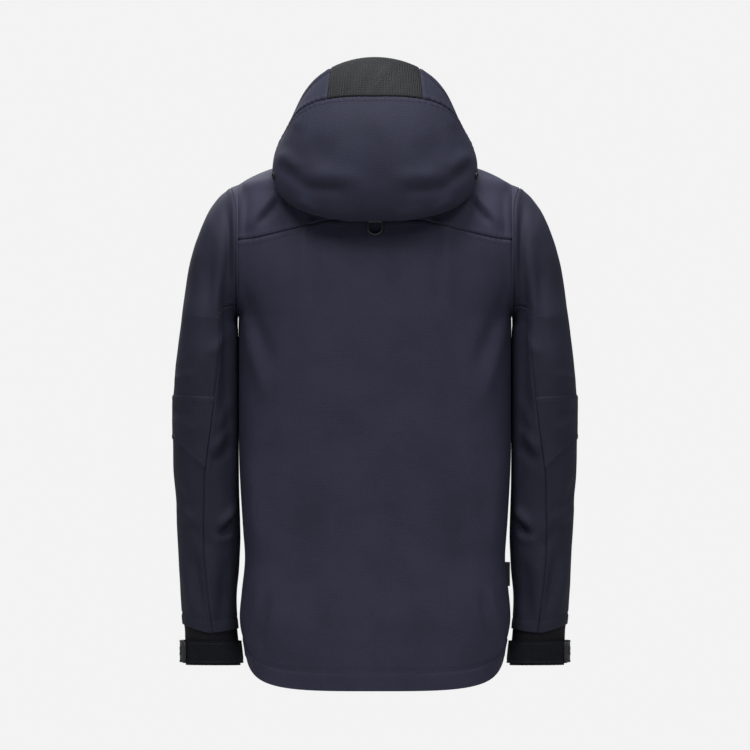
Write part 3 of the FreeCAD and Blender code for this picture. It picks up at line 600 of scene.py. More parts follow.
def hemmed(points):
    """Press a stitched hem into the bottom of a panel: a groove at the stitch line, a fuller band below."""
    distances = edge_distances(points)
    gap = distances["b"]
    lift = -1.1 * bump_at(gap, HEM_ROW, 1.6) + 0.6 * smooth(HEM_ROW, HEM_ROW - 5, gap)
    lift += pucker(np.abs(gap - HEM_ROW), distances["l"], 8, 0.45, 13)
    return raised(points, lift)


back_points = hemmed(back_points)
yoke_points = formed(grid(back_upper, COLUMNS, spread(190, 60)), "lrb", YOKE_FOLDS, seed=4, wave=0.9, size=90,
                     puckers="b", side_top=SPLIT)
back_panel = cloth_piece("back_panel_cloth", back_points, SHELL_CLOTH, nodes=("back_panel",))
yoke = cloth_piece("back_yoke_cloth", yoke_points, SHELL_CLOTH, nodes=("back_yoke",))

FRONT_EDGE = 0.0135              # share of the front taken by the zip, each side
FRONT_FOLDS = both([(70, 690, 84, 420, 22, -2.4), (110, 640, 118, 300, 24, 2.2), (150, 600, 120, 500, 12, -2.4),
                    (186, 560, 150, 480, 11, -2.2), (60, 330, 66, 70, 24, 2.2), (130, 250, 140, 70, 18, -2.2),
                    (165, 150, 176, 70, 8, 2.4), (120, 720, 165, 660, 11, -2.0), (40, 560, 50, 380, 14, 1.2)])


def front_side(sign):
    def surface(u, v):
        q = mix(FRONT_EDGE, 1.0, u) if sign > 0 else mix(-1.0, -FRONT_EDGE, u)
        return torso(FRONT, q, v * 2)
    return surface


fronts = {}
for side_name, sign in SIDES:
    points = formed(grid(front_side(sign), spread(300, 90), spread(850, 230)), "lr", FRONT_FOLDS, side=-1,
                    seed=6 + sign, wave=1.1, size=130, side_top=SPLIT)
    points = hemmed(points)
    fronts[side_name] = points
    piece = cloth_piece(side_name + "_front_cloth", points, SHELL_CLOTH,
                        nodes=(side_name + "_front_panel",))
    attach(piece, "torso")

for piece, flat in ((back_panel, (0.50, 0.66)), (yoke, (0.46, 0.10))):
    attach(piece, "torso")

rows = [stitch_row(back_points, "b", HEM_ROW), stitch_row(back_points, "t", 2.6),
        stitch_row(back_points, "t", 7.5), stitch_row(yoke_points, "b", 3.0)]
for points, zip_edge, seam_edge in ((fronts["left"], "l", "r"), (fronts["right"], "r", "l")):
    rows += [stitch_row(points, "b", HEM_ROW), stitch_row(points, zip_edge, 4.0),
             stitch_row(points, seam_edge, 3.0)]
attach(stitches("body_stitches", rows), "torso")


# ------------------------------------------------------------------ sleeves
# Each sleeve is set into an upright armhole and cut in two halves: an outer one with its seam down the back,
# and an under one. A shaped panel is let in at the outside of the elbow, with doubled seams above and below.
SLEEVE_OUTER = [(30, 277), (83, 278), (100, 280), (135, 282), (170, 284), (204, 286), (240, 288), (274, 289),
                (309, 292), (360, 293), (413, 293.5), (431, 292), (465, 289), (500, 285), (540, 280)]
SLEEVE_INNER = [(30, 192.5), (85, 198), (117, 200.5), (140, 200.5), (170, 197.5), (187, 196.5), (222, 195.2),
                (300, 197.2), (470, 197.8), (520, 198.2), (533, 200.0)]
SLEEVE_HALF_DEPTH = [(30, 38), (100, 43), (200, 50), (300, 57), (430, 69), (540, 80)]
SLEEVE_CENTRE_Y = [(30, -26), (100, -24), (250, -14), (417, -4), (540, 0)]
SLEEVE_CAP = [(0, 199, 731), (0.06, 206, 728.5), (0.12, 214, 723), (0.2, 223, 716), (0.27, 230, 708),
              (0.36, 240.5, 693), (0.45, 249, 675), (0.55, 256.5, 656), (0.63, 262, 640), (0.82, 271.5, 600),
              (1, 280, 540)]
BACK_SEAM = [(0, 150), (0.5, 140), (1.0, 119), (1.24, 104.6), (1.45, 87.6), (1.67, 80.4), (1.87, 92.8),
             (2, 93)]
FRONT_SEAM = -100.0
SLEEVE_FOOT = 30.0
ARMPIT = 1.0                     # the sleeve swells this far from the armhole to the armpit
ARMHOLE_X = 199.9                # the set-in seam runs in this upright plane, and leans out at its top


def sleeve(k, turn):
    """Left sleeve: turn 0 is its outer side, 90 its back, 180 its inner side. k is 0 at the armhole, 1 at the
    armpit and 2 at the bottom edge."""
    cap = np.clip(k, 0, 1)
    angle = np.radians(90 * cap)
    outer_z = mix(SPLIT, SLEEVE_FOOT, k - 1)
    inner_z = mix(SPLIT - 6, SLEEVE_FOOT, k - 1)
    on_cap = k <= 1
    inner_x = np.where(on_cap, 199 + ARMPIT * np.sin(angle), follow(SLEEVE_INNER, inner_z))
    inner_z = np.where(on_cap, SPLIT + 1 - 7 * (1 - np.cos(angle)), inner_z)
    outer_x = np.where(on_cap, follow(SLEEVE_CAP, cap), follow(SLEEVE_OUTER, outer_z))
    outer_z = np.where(on_cap, follow(SLEEVE_CAP, cap, 2), outer_z)
    middle_z = (inner_z + outer_z) / 2
    deep = np.where(on_cap, mix(ARMHOLE_DEPTH, 80, k), follow(SLEEVE_HALF_DEPTH, middle_z))
    centre = np.where(on_cap, 0, follow(SLEEVE_CENTRE_Y, middle_z))
    c, s = np.cos(np.radians(turn)), np.sin(np.radians(turn))
    return stack((inner_x + outer_x) / 2 + (outer_x - inner_x) / 2 * c, centre + deep * s,
                 middle_z + (outer_z - inner_z) / 2 * c)


def sleeve_level(height):
    return 1 + (SPLIT - height) / (SPLIT - SLEEVE_FOOT)


def armhole_level(turn):
    """The level k at which the sleeve crosses the plane of the set-in seam."""
    low, high = np.zeros_like(turn), np.ones_like(turn)
    plane = ARMHOLE_X + 9 * (np.maximum(np.cos(np.radians(turn)) - 0.55, 0) / 0.45)**2
    for _ in range(30):
        middle = (low + high) / 2
        beyond = sleeve(middle, turn)[..., 0] > plane
        low, high = np.where(beyond, low, middle), np.where(beyond, middle, high)
    return low


def cuff_edge(turn):
    c = np.cos(np.radians(turn))
    return 82 + 12 * np.maximum(c, 0)**1.5 + 6 * np.maximum(-c, 0)**1.5


def back_seam(k):
    return follow(BACK_SEAM, k)


def sleeve_half(u, v, outside):
    """The outer or the under half, cut from the back seam round to the front seam."""
    turn = mix(FRONT_SEAM, 100.0, u) if outside else mix(100.0, 360.0 + FRONT_SEAM, u)
    for _ in range(4):
        k = mix(sleeve_level(cuff_edge(turn)), armhole_level(turn), v)
        seam = back_seam(k)
        turn = mix(FRONT_SEAM, seam, u) if outside else mix(seam, 360.0 + FRONT_SEAM, u)
    return sleeve(k, turn)


def sided(points, sign):
    """A left-hand surface, or its mirror image for the right side."""
    return points if sign > 0 else points[::-1] * np.array((-1.0, 1.0, 1.0))


SLEEVE_FOLDS = [(262, 600, 243, 690, 15, 2.2), (250, 560, 238, 650, 14, -2.4), (216, 700, 208, 600, 7, -2.5),
                (210, 640, 212, 350, 12, -5.0), (226, 570, 228, 440, 9, 1.6), (274, 560, 277, 450, 13, 1.8),
                (243, 612, 233, 500, 15, -3.6), (256, 500, 262, 430, 14, 1.6),
                (292, 446, 262, 456, 6, 1.4), (290, 405, 268, 398, 7, -1.6), (292, 388, 262, 376, 7, 1.3),
                (224, 237, 193, 269, 7, 4.2), (222, 222, 196, 250, 7, -4.2), (230, 215, 204, 225, 7, 2.2),
                (276, 183, 264, 114, 8, 2.6), (262, 192, 250, 118, 8, -2.6), (240, 180, 236, 100, 9, 1.6),
                (216, 180, 220, 110, 9, -2.2), (290, 300, 272, 262, 8, -1.8), (286, 262, 258, 240, 8, 1.8),
                (232, 330, 206, 352, 8, -2.4), (234, 348, 208, 376, 8, 2.0), (204, 420, 222, 380, 9, 2.0),
                (270, 240, 240, 205, 9, -1.6), (212, 512, 236, 486, 8, 1.6), (258, 346, 240, 300, 9, 1.2)]
FRONT_SLEEVE_FOLDS = [(262, 600, 243, 690, 15, 2.2), (216, 690, 206, 590, 8, -3.0),
                      (238, 660, 226, 570, 12, -2.2),
                      (205, 455, 262, 430, 8, 3.0), (206, 440, 258, 414, 7, -4.0), (208, 424, 266, 402, 8, 3.2),
                      (214, 400, 262, 384, 8, -2.6), (222, 500, 250, 470, 9, 2.0), (206, 330, 244, 306, 9, 2.0),
                      (262, 250, 246, 160, 10, 2.2), (232, 240, 222, 120, 11, -2.4),
                      (270, 140, 262, 96, 8, 1.6)]
SLEEVE_CREASE = 1.7               # how deep the sleeve folds are, as a multiple of the heights above
LINING_MESH = cloth_material("warp_knit_mesh_lining", "#17171D", "#25252E", 1.6, 0.5, roughness=0.9)


def flipped(folds, sign):
    return [(sign * x0, z0, sign * x1, z1, width, height) for x0, z0, x1, z1, width, height in folds]


def creased(points, sign, seed, seams):
    """Folds, unevenness and seams of a sleeve panel, the same wherever two panels overlap."""
    normals = normals_of(points)
    gaps = edge_distances(points)
    lift = ripple(points, seed, 95, 0.9) + ripple(points, seed + 9, 34, 0.3)
    lift += SLEEVE_CREASE * fold_lift(points, normals, flipped(SLEEVE_FOLDS, sign), BACK)
    lift += SLEEVE_CREASE * fold_lift(points, normals, flipped(FRONT_SLEEVE_FOLDS, sign), FRONT)
    lift *= smooth(198, 212, np.abs(points[..., 0]))
    for edge in seams:
        lift += seam_lift(gaps[edge]) + pucker(gaps[edge], gaps["b" if edge in "lr" else "l"], seed, 0.25)
    return points + normals * lift[..., None]


def elbow_panel(u, v):
    """Let-in panel on the outside of the elbow: a level seam above it and a slanting one below."""
    turn = mix(-70.0, 86.0, u)
    for _ in range(4):
        foot = 361 - 42 * np.clip((290 - sleeve(sleeve_level(340 + 0 * turn), turn)[..., 0]) / 45, 0, 1.1)
        k = sleeve_level(mix(foot, 427.0, v))
        turn = mix(-70.0, back_seam(k), u)
    return sleeve(k, turn)


def on_elbow(thing):
    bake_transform(thing)


CUFF_ROW = 16.0                  # height of the sleeve hem's stitch line above its edge
ARM_ROWS = spread(720, 230)
ARM_COLUMNS = spread(210, 64)
RING_TURNS = np.arange(220) / 220
PATCH_PROUD = 0.9                # mm that the elbow panel stands above the sleeve
LINING_GAP = 3.2
for side_name, sign in SIDES:
    seed = 21 if sign > 0 else 37

    def armhole_ring(u, v):
        """Strip between the body's armhole edge and the set-in seam."""
        turn = 360.0 * u
        edge = stack(HALF_CHEST, ARMHOLE_DEPTH * np.sin(np.radians(turn)),
                     (SPLIT + SHOULDER_TIP) / 2 + (SHOULDER_TIP - SPLIT) / 2 * np.cos(np.radians(turn)))
        return mix(sleeve(armhole_level(turn), turn), edge, v[..., None])

    ring = sided(grid(armhole_ring, RING_TURNS, np.linspace(0, 1, 14)), sign)
    strip = cloth_piece(side_name + "_armhole_strip", ring, SHELL_CLOTH, closed=True)
    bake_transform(strip)

    halves = []
    for outside, label, nodes in ((True, "outer_sleeve", ("upper_sleeve", "forearm_outer")),
                                  (False, "inner_sleeve", ("under_sleeve", "forearm_inner"))):
        plain = sided(grid(lambda u, v: sleeve_half(u, v, outside), ARM_COLUMNS, ARM_ROWS), sign)
        points = creased(plain, sign, seed, "lrt")
        gap = edge_distances(points)["b"]
        points = raised(points, -0.9 * bump_at(gap, CUFF_ROW, 1.5) + 0.4 * smooth(CUFF_ROW, CUFF_ROW - 4, gap))
        piece = cloth_piece(side_name + "_" + label, points, SLEEVE_CLOTH_PAINTED_SHADE,
                            nodes=["%s_%s" % (side_name, node) for node in nodes])
        on_elbow(piece)
        halves.append(points)

    patch_plain = sided(grid(elbow_panel, spread(160, 70), spread(85, 40)), sign)
    patch_points = creased(patch_plain, sign, seed, "tb")
    patch_points = patch_points + normals_of(patch_points) * PATCH_PROUD
    patch = cloth_piece(side_name + "_elbow_panel", patch_points, SLEEVE_CLOTH_PAINTED_SHADE, thickness=1.0,
                        nodes=(side_name + "_elbow_patch",))
    on_elbow(patch)

    def lining_tube(u, v):
        turn = 360.0 * u
        return sleeve(mix(sleeve_level(60.0 + 0 * turn), 0.16 + 0 * turn, v), turn)

    tube = sided(grid(lining_tube, np.arange(90) / 90, np.linspace(0, 1, 110)), sign)
    tube = creased(tube, sign, seed, "") - normals_of(tube, closed=True) * LINING_GAP
    tube_lining = cloth_piece(side_name + "_sleeve_lining_cloth", tube, LINING_MESH,
                              thickness=0.6, closed=True, nodes=(side_name + "_sleeve_lining",))
    on_elbow(tube_lining)

    back_edge, seam_side = ("r", "l") if sign > 0 else ("l", "r")
    rows = [stitch_row(halves[0], back_edge, 2.8), stitch_row(halves[0], back_edge, 8.0),
            stitch_row(halves[0], seam_side, 2.8), stitch_row(halves[0], "t", 3.0),
            stitch_row(halves[0], "b", CUFF_ROW),
            stitch_row(halves[1], "t", 3.0), stitch_row(halves[1], "b", CUFF_ROW),
            stitch_row(patch_points, "t", 2.6), stitch_row(patch_points, "t", 8.0),
            stitch_row(patch_points, "b", 2.6), stitch_row(patch_points, "b", 8.0)]
    on_elbow(stitches(side_name + "_sleeve_stitches", rows))


# ------------------------------------------------------------------ cuffs
# Below the shell's edge a black stretch band closes each cuff. A loop-pile strap runs round it, and a
# moulded rubber tab with hooks on its back, sewn to the strap's end, fastens it on the outer side.
BAND_KNIT = cloth_material("black_stretch_band", "#08080C", "#0E0E14", 1.6, 0.35, roughness=0.85)
LOOP_PILE = cloth_material("brushed_loop_pile", "#04060A", "#0C1018", 1.2, 0.9, roughness=0.95, sheen=0.5,
                           fuzz=1.4)


def plain_material(name, colour, roughness, grain, relief, metallic=0.0, wear=None, coat=0.0):
    """Moulded, cast or coated part: fine surface grain, uneven gloss and, where given, edges worn lighter."""
    material = bpy.data.materials.new(name)
    material.use_nodes = True
    tree = material.node_tree
    tree.nodes.clear()
    place = add_node(tree, "ShaderNodeTexCoord")
    fine = add_node(tree, "ShaderNodeTexNoise", {"Vector": place.outputs["Object"], "Scale": 1000 / grain,
                                                 "Detail": 3.0})
    patchy = add_node(tree, "ShaderNodeTexNoise", {"Vector": place.outputs["Object"], "Scale": 90.0,
                                                   "Detail": 2.0})
    gloss = add_node(tree, "ShaderNodeMapRange", {"Value": patchy.outputs["Fac"], "From Min": 0.3,
                                                  "From Max": 0.7, "To Min": roughness * 0.8,
                                                  "To Max": min(roughness * 1.25, 1)})
    bump = add_node(tree, "ShaderNodeBump", {"Height": fine.outputs["Fac"], "Distance": relief / 1000,
                                             "Strength": 0.6})
    edge = add_node(tree, "ShaderNodeNewGeometry")
    worn = add_node(tree, "ShaderNodeMapRange", {"Value": edge.outputs["Pointiness"], "From Min": 0.52,
                                                 "From Max": 0.60})
    rubbed = add_node(tree, "ShaderNodeMath", {0: worn.outputs["Result"], 1: patchy.outputs["Fac"]},
                      operation="MULTIPLY")
    colours = add_node(tree, "ShaderNodeMix", {"Factor": rubbed.outputs[0], "A": linear(colour),
                                               "B": linear(wear or colour)}, data_type="RGBA")
    shader = add_node(tree, "ShaderNodeBsdfPrincipled", {
        "Base Color": colours.outputs["Result"], "Roughness": gloss.outputs["Result"], "Metallic": metallic,
        "Coat Weight": coat, "Coat Roughness": 0.2, "Normal": bump.outputs["Normal"]})
    add_node(tree, "ShaderNodeOutputMaterial", {"Surface": shader.outputs[0]})
    return material


RUBBER = plain_material("moulded_tpu_rubber", "#101016", 0.6, 0.5, 0.05, wear="#22222A")


def rounded_outline(half_a, half_b, radius, count=48):
    """Outline of a rounded rectangle as (a, b) pairs, evenly stepped."""
    turn = np.arange(count) * 2 * math.pi / count
    c, s = np.cos(turn), np.sin(turn)
    reach = np.maximum(np.abs(c) / half_a, np.abs(s) / half_b)
    box = np.stack([c / reach, s / reach], 1)
    core = np.clip(box, (-half_a + radius, -half_b + radius), (half_a - radius, half_b - radius))
    way = box - core
    length = np.linalg.norm(way, axis=1, keepdims=True)
    return core + way * np.where(length > radius, radius / np.maximum(length, 1e-9), 1)


def plate(name, centre, a_axis, b_axis, half_a, half_b, radius, steps, material, nodes=(), bend=0.0):
    """A moulded plate: its outline is repeated at each step (height, inset) along the third axis. bend curls
    its ends back, in mm per square mm."""
    centre, a_axis, b_axis = (np.asarray(v, float) for v in (centre, a_axis, b_axis))
    out = np.cross(a_axis, b_axis)
    loops = []
    for height, inset in steps:
        outline = rounded_outline(half_a - inset, half_b - inset, max(radius - inset, 0.4))
        sag = bend * outline[:, :1]**2
        loops.append(centre + outline[:, :1] * a_axis + outline[:, 1:] * b_axis + out * (height - sag))
    return ring_piece(name, loops, material, nodes=nodes)


BAND_FOOT = 34.0
for side_name, sign in SIDES:

    def band(u, v):
        turn = 360.0 * u
        return sleeve(sleeve_level(mix(BAND_FOOT, cuff_edge(turn) + 7, v)), turn)

    plain = sided(grid(band, np.arange(200) / 200, np.linspace(0, 1, 40)), sign)
    height = plain[..., 2]
    run = np.arange(200)[:, None] / 200 * 2 * math.pi
    gather = 0.5 * np.sin(run * 34 + 1.2 * np.sin(run * 5)) * smooth(90, 40, height)
    inward = gather - 1.9 - 0.8 * smooth(44, 36, height)
    points = plain + normals_of(plain, closed=True) * inward[..., None]
    band_piece = cloth_piece(side_name + "_cuff_band_knit", points, BAND_KNIT, closed=True,
                             thickness=1.6, nodes=(side_name + "_cuff_band",))
    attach(band_piece, side_name + "_forearm")

    def strap_line(u, v):
        turn = mix(-34.0, 274.0, u)
        return sleeve(sleeve_level(mix(37.0, 69.5, v)), turn)

    plain = sided(grid(strap_line, np.linspace(0, 1, 180), spread(33, 14)), sign)
    distances = edge_distances(plain)
    slack = 0.45 * np.sin(distances["l"] * 0.33 + 2 * np.sin(distances["l"] * 0.05))
    lift = 2.4 + slack * smooth(0, 9, distances["b"])
    lift = lift - 0.7 * bump_at(distances["t"], 3, 0.9) - 0.7 * bump_at(distances["b"], 3, 0.9)
    points = raised(plain, lift)
    strap = cloth_piece(side_name + "_loop_strap", points, LOOP_PILE, thickness=2.2,
                        nodes=(side_name + "_cuff_strap",))
    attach(strap, side_name + "_forearm")
    rows = [stitch_row(points, "t", 3.0), stitch_row(points, "b", 3.0)]
    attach(stitches(side_name + "_strap_stitches", rows), side_name + "_forearm")

    low, high = (np.array(corner) * 1000 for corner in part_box(side_name + "_cuff_tab"))
    middle = (low + high) / 2 + np.array((0, 0, NECK))
    half = (high - low) / 2
    steps = [(-half[0] - 1.4, 0.7), (-half[0] - 0.9, 0.0), (half[0] - 0.9, 0.0), (half[0], 0.7), (half[0], 2.2),
             (half[0] - 0.6, 2.8), (half[0] - 0.6, 9.5), (half[0] - 0.1, 10.1), (half[0] - 0.1, 13.0)]
    tab = plate(side_name + "_cuff_tab_moulding", middle, (0, sign, 0), (0, 0, 1), half[1], half[2], 6.0, steps,
                RUBBER, nodes=(side_name + "_cuff_tab",), bend=0.0096)
    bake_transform(tab)


# ------------------------------------------------------------------ hood
# The lowered hood stands as a deep pouch behind the collar. A stiffened visor is sewn along its upper edge,
# its middle third in black ribbed grip fabric. The pouch curls under at the bottom, close to the yoke.
HOOD_RADIUS, HOOD_CENTRE = 148.0, 760.0
RIB_EDGE, RIB_TAPER = 0.315, 0.04
HOOD_END = 0.97
CURL = 0.06                      # share of the pouch that curls under at the bottom
VISOR_ROW = 11.0                 # mm from the visor's rim to its stitch line


def hood(s, v):
    across, back = np.sin(s * math.pi / 2), np.cos(s * math.pi / 2)
    rim_turn = np.radians(90 - 82 * np.abs(s))
    rim_radius = (HOOD_RADIUS + 5 * np.sin(rim_turn)**2
                  - 13 * np.exp(-((np.degrees(rim_turn) - 27) / 20)**2))
    rim = stack(np.sign(s) * rim_radius * np.cos(rim_turn), 35 + 57 * back,
                HOOD_CENTRE + rim_radius * np.sin(rim_turn))
    bottom = stack(0.87 * HOOD_RADIUS * across, 100 + 42 * back, HOOD_CENTRE - 48 - 37 * back)
    low = stack(1.035 * HOOD_RADIUS * across, 96 + 98 * back, HOOD_CENTRE - 42 - 18 * back)
    high = stack(1.03 * HOOD_RADIUS * across, 62 + 114 * back, HOOD_CENTRE + 4 + 86 * back)
    t = np.maximum(v, 0)[..., None]
    w = 1 - t
    curl = np.clip(-v / CURL, 0, 1)[..., None]
    under = stack(-10 * across, -16 * back - 3, 9 + 0 * back)
    tucked = under * np.stack([curl[..., 0], np.sin(curl[..., 0] * math.pi / 2), curl[..., 0]**2], -1)
    return bottom * w**3 + low * 3 * w * w * t + high * 3 * w * t * t + rim * t**3 + tucked


def visor_seam(s):
    return 0.76 + 0.2 * np.abs(s)**1.6


def hood_crown(u, v):
    s = mix(HOOD_END, -HOOD_END, u)
    return hood(s, mix(-CURL, visor_seam(s), v))


def hood_ribbed(u, v):
    s = mix(RIB_EDGE, -RIB_EDGE, u) * (1 - RIB_TAPER * v)
    return hood(s, mix(visor_seam(s), 1, v))


def hood_visor(u, v):
    s = mix(HOOD_END - 0.01, RIB_EDGE * (1 - RIB_TAPER * v), u)
    return hood(s, mix(visor_seam(s), 1, v))


HOOD_FOLDS = both([(98, 722, 46, 718, 10, -2.6), (92, 741, 30, 737, 13, 1.8), (98, 782, 62, 764, 24, -2.0),
                   (134, 754, 98, 722, 9, -1.8), (134, 776, 112, 752, 11, 1.6), (116, 812, 128, 772, 12, -1.4),
                   (70, 690, 30, 682, 9, 1.5), (110, 705, 80, 690, 7, 1.6)]) + [(0, 800, 0, 730, 30, -1.2)]
# Painted shade: the hood's copy of the shell cloth is coloured darker, though the cloth is the same.
HOOD_CLOTH_PAINTED_SHADE = cloth_material("laminated_polyester_hood_painted_shade", "#1C1D2B", "#232435", 1.3, 0.22)

crown_points = formed(grid(hood_crown, spread(520, 190), spread(260, 110)), "lrt", HOOD_FOLDS, seed=71,
                      wave=0.9, size=110, puckers="t")
crown = cloth_piece("hood_crown_cloth", crown_points, HOOD_CLOTH_PAINTED_SHADE, nodes=("hood_crown",))
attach(crown, "hood")

hood_rows = [stitch_row(crown_points, "t", 3.0), stitch_row(crown_points, "t", 8.0)]
plain = grid(hood_visor, spread(210, 90), spread(75, 40))
for side_name, sign in SIDES:
    points = formed(sided(plain, sign), "lrb", (), seed=75, wave=0.5, size=90, puckers="b")
    rim_gap = edge_distances(points)["t"]
    points = raised(points, 0.8 * smooth(VISOR_ROW, 4, rim_gap) - 0.8 * bump_at(rim_gap, VISOR_ROW, 1.2)
                    - 1.6 * smooth(2.0, 0, rim_gap))
    visor = cloth_piece(side_name + "_visor_cloth", points, HOOD_CLOTH_PAINTED_SHADE,
                        nodes=(side_name + "_visor",))
    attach(visor, "hood")
    hood_rows += [stitch_row(points, "t", VISOR_ROW), stitch_row(points, "b", 3.0),
                  stitch_row(points, "r" if side_name == "left" else "l", 3.0)]

# Ribbed grip fabric: raised cords with fine cross threads between them.
RIBBED = cloth_material("black_ribbed_grip_fabric", "#0A0B0C", "#191A1D", 2.1, 0.7, roughness=0.75)
RIB_PITCH = 3.6                  # mm between cords, coarser than real so that they show
plain = grid(hood_ribbed, np.linspace(0, 1, 330), spread(78, 36))
distances = edge_distances(plain)
ribs = 0.38 * np.abs(np.sin(distances["l"] * math.pi / RIB_PITCH))**0.7
lift = ribs * smooth(0, 3, distances["b"]) * smooth(0, 3, distances["t"])
lift = lift - 0.9 * bump_at(distances["b"], 0, 1.6)
lift = lift - 0.6 * bump_at(distances["l"], 0, 1.6) - 0.6 * bump_at(distances["r"], 0, 1.6) + 0.2
points = raised(plain, lift)
ribbed = cloth_piece("hood_ribbed_cloth", points, RIBBED, nodes=("hood_ribbed_panel",))
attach(ribbed, "hood")
hood_rows.append(stitch_row(points, "t", VISOR_ROW))
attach(stitches("hood_stitches", hood_rows), "hood")


def hood_inside(u, v):
    s = mix(0.96, -0.96, u)
    return hood(s, mix(0.0, 0.985, v))


plain = grid(hood_inside, np.linspace(0, 1, 110), np.linspace(0, 1, 60))
points = plain - normals_of(plain) * 5.6
hood_lining = cloth_piece("hood_lining_cloth", points, LINING_MESH, thickness=0.7,
                          nodes=("hood_lining",))
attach(hood_lining, "hood")


def hood_neck(u, v):
    turn = np.radians(mix(58, -58, u))
    back = np.cos(turn)
    inner = stack(88 * np.sin(turn), NECK_OFFSET + 86 * back, 768 - 8 * back)
    outer = stack(116 * np.sin(turn), 38 + 84 * back, 766 - 62 * back**2)
    middle = stack(102 * np.sin(turn), 16 + 88 * back, 774 - 22 * back)
    w = (1 - v)[..., None]
    t = v[..., None]
    return outer * w * w + middle * 2 * w * t + inner * t * t


points = grid(hood_neck, np.linspace(0, 1, 70), np.linspace(0, 1, 26))
neck_piece = cloth_piece("hood_neck_cloth", points, SHELL_CLOTH, nodes=("hood_neck_panel",))
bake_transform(neck_piece)


# ------------------------------------------------------------------ collar and linings
# A stand-up collar with a brushed fleece inside runs up to the zip's top. The body hangs on a loose mesh
# lining, with a band of facing cloth along the inside of the hem.
FLEECE = cloth_material("brushed_microfleece", "#23242E", "#30313C", 2.2, 1.0, roughness=0.95, sheen=0.6,
                        fuzz=1.6)
FACING = cloth_material("taffeta_facing", "#1C1C25", "#282833", 0.9, 0.15, roughness=0.6)


COLLAR_TOP = 821.0
COLLAR_ROW = 7.0                 # mm from the collar's top edge to its stitch line


def neck_height(turn):
    back_share = math.radians(75)
    away = np.abs(turn)
    return np.where(away <= back_share, mix(NECK_BACK, NECK_SIDE, (away / back_share)**2),
                    mix(NECK_FRONT, NECK_SIDE, ((math.pi - away) / (math.pi - back_share))**2))


def collar(reach):
    def surface(u, v):
        turn = np.radians(mix(-reach, reach, u))
        grow = 1 + 0.02 * v
        return stack(-NECK_HALF_WIDTH * np.sin(turn) * grow,
                     NECK_OFFSET + NECK_HALF_DEPTH * np.cos(turn) * grow,
                     mix(neck_height(turn) - 1.0, COLLAR_TOP, v))
    return surface


points = formed(grid(collar(171), spread(460, 150), spread(72, 36)), "b", (), seed=81, wave=0.7, size=60,
                puckers="b")
gap = edge_distances(points)["t"]
points = raised(points, 0.6 * smooth(COLLAR_ROW, 3, gap) - 0.7 * bump_at(gap, COLLAR_ROW, 1.1)
                - 1.2 * smooth(1.5, 0, gap))
collar_piece = cloth_piece("collar_outer_cloth", points, SHELL_CLOTH, thickness=1.6,
                           nodes=("collar_outer",))
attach(collar_piece, "torso")
rows = [stitch_row(points, "t", COLLAR_ROW), stitch_row(points, "b", 3.0)]
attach(stitches("collar_stitches", rows), "torso")

points = grid(collar(164), np.linspace(0, 1, 120), np.linspace(0, 1, 24))
points = formed(points - normals_of(points) * 3.4, "", (), seed=83, wave=0.6, size=40)
collar_lining = cloth_piece("collar_lining_cloth", points, FLEECE, thickness=2.0,
                            nodes=("collar_lining",))
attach(collar_lining, "torso")


def wrapped(low, high, opening):
    """A sheet round the whole body, from one side of the zip round the back to the other."""
    def surface(u, v):
        q = mix(2 - opening, opening - 2, u)
        level = mix(low, high, v)
        rear = torso(BACK, np.clip(q, -1, 1), level)
        fore = torso(FRONT, np.sign(q) * np.clip(2 - np.abs(q), 0, 1), level)
        return np.where((np.abs(q) <= 1)[..., None], rear, fore)
    return surface


for name, node, cloth, slot_name, low, high, depth, count, flat, area in (
        ("body_lining_cloth", "body_lining", LINING_MESH, "lining_mesh", 0.085, 1.985, 9.5, 64,
         (1.02, 0.70), 0.63),
        ("hem_facing_cloth", "hem_facing", FACING, "facing_fabric", 0.008, 0.11, 4.2, 14,
         (1.02, 0.048), 0.048)):
    plain = grid(wrapped(low, high, 0.16), np.linspace(0, 1, 180), np.linspace(0, 1, count))
    points = formed(plain - normals_of(plain) * depth, "", (), seed=91, wave=0.8, size=90)
    piece = cloth_piece(name, points, cloth, thickness=0.8, nodes=(node,))
    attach(piece, "torso")


def yoke_inside(u, v):
    q = mix(0.72, -0.72, u)
    return torso(BACK, q, mix(1.2, 1.9, v))


plain = grid(yoke_inside, np.linspace(0, 1, 90), np.linspace(0, 1, 50))
points = formed(plain - normals_of(plain) * 11.2, "", (), seed=93, wave=0.5, size=70)
yoke_lining = cloth_piece("yoke_lining_cloth", points, FACING, thickness=0.8,
                          nodes=("yoke_lining",))
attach(yoke_lining, "torso")


# ------------------------------------------------------------------ main zip
# Coarse moulded-tooth front zip: acetal teeth pressed on black woven tape, a bottom box, and a painted
# metal slider whose ribbed rubber pull hangs from a hole at its top. A storm flap lies behind it.
TAPE_CLOTH = cloth_material("woven_zip_tape", "#08080B", "#131318", 0.9, 0.25, roughness=0.8)
ACETAL = plain_material("moulded_acetal", "#101014", 0.38, 0.4, 0.03, wear="#2B2B31")
PAINTED_METAL = plain_material("painted_zinc_casting", "#0D0D11", 0.33, 0.3, 0.03, wear="#8D8D93", coat=0.3)
ZIP_SINK = 4.6
ZIP_FOOT, ZIP_HEAD = 20.0, 816.0


def on_zip(x, height, inward):
    return stack(x, -zip_depth(height) + inward, height)


def strip_piece(name, x0, x1, foot, head, inward, cloth, thickness, node):
    """A straight strip that runs up the front, facing forwards."""
    def surface(u, v):
        return on_zip(mix(x0, x1, u), mix(foot, head, v), inward)
    points = grid(surface, np.linspace(0, 1, 14), np.linspace(0, 1, 200))
    if thickness > 1:
        points = raised(points, ripple(points, 5, 60, 0.25))
    piece = cloth_piece(name, points, cloth, thickness=thickness, nodes=(node,))
    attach(piece, "torso")


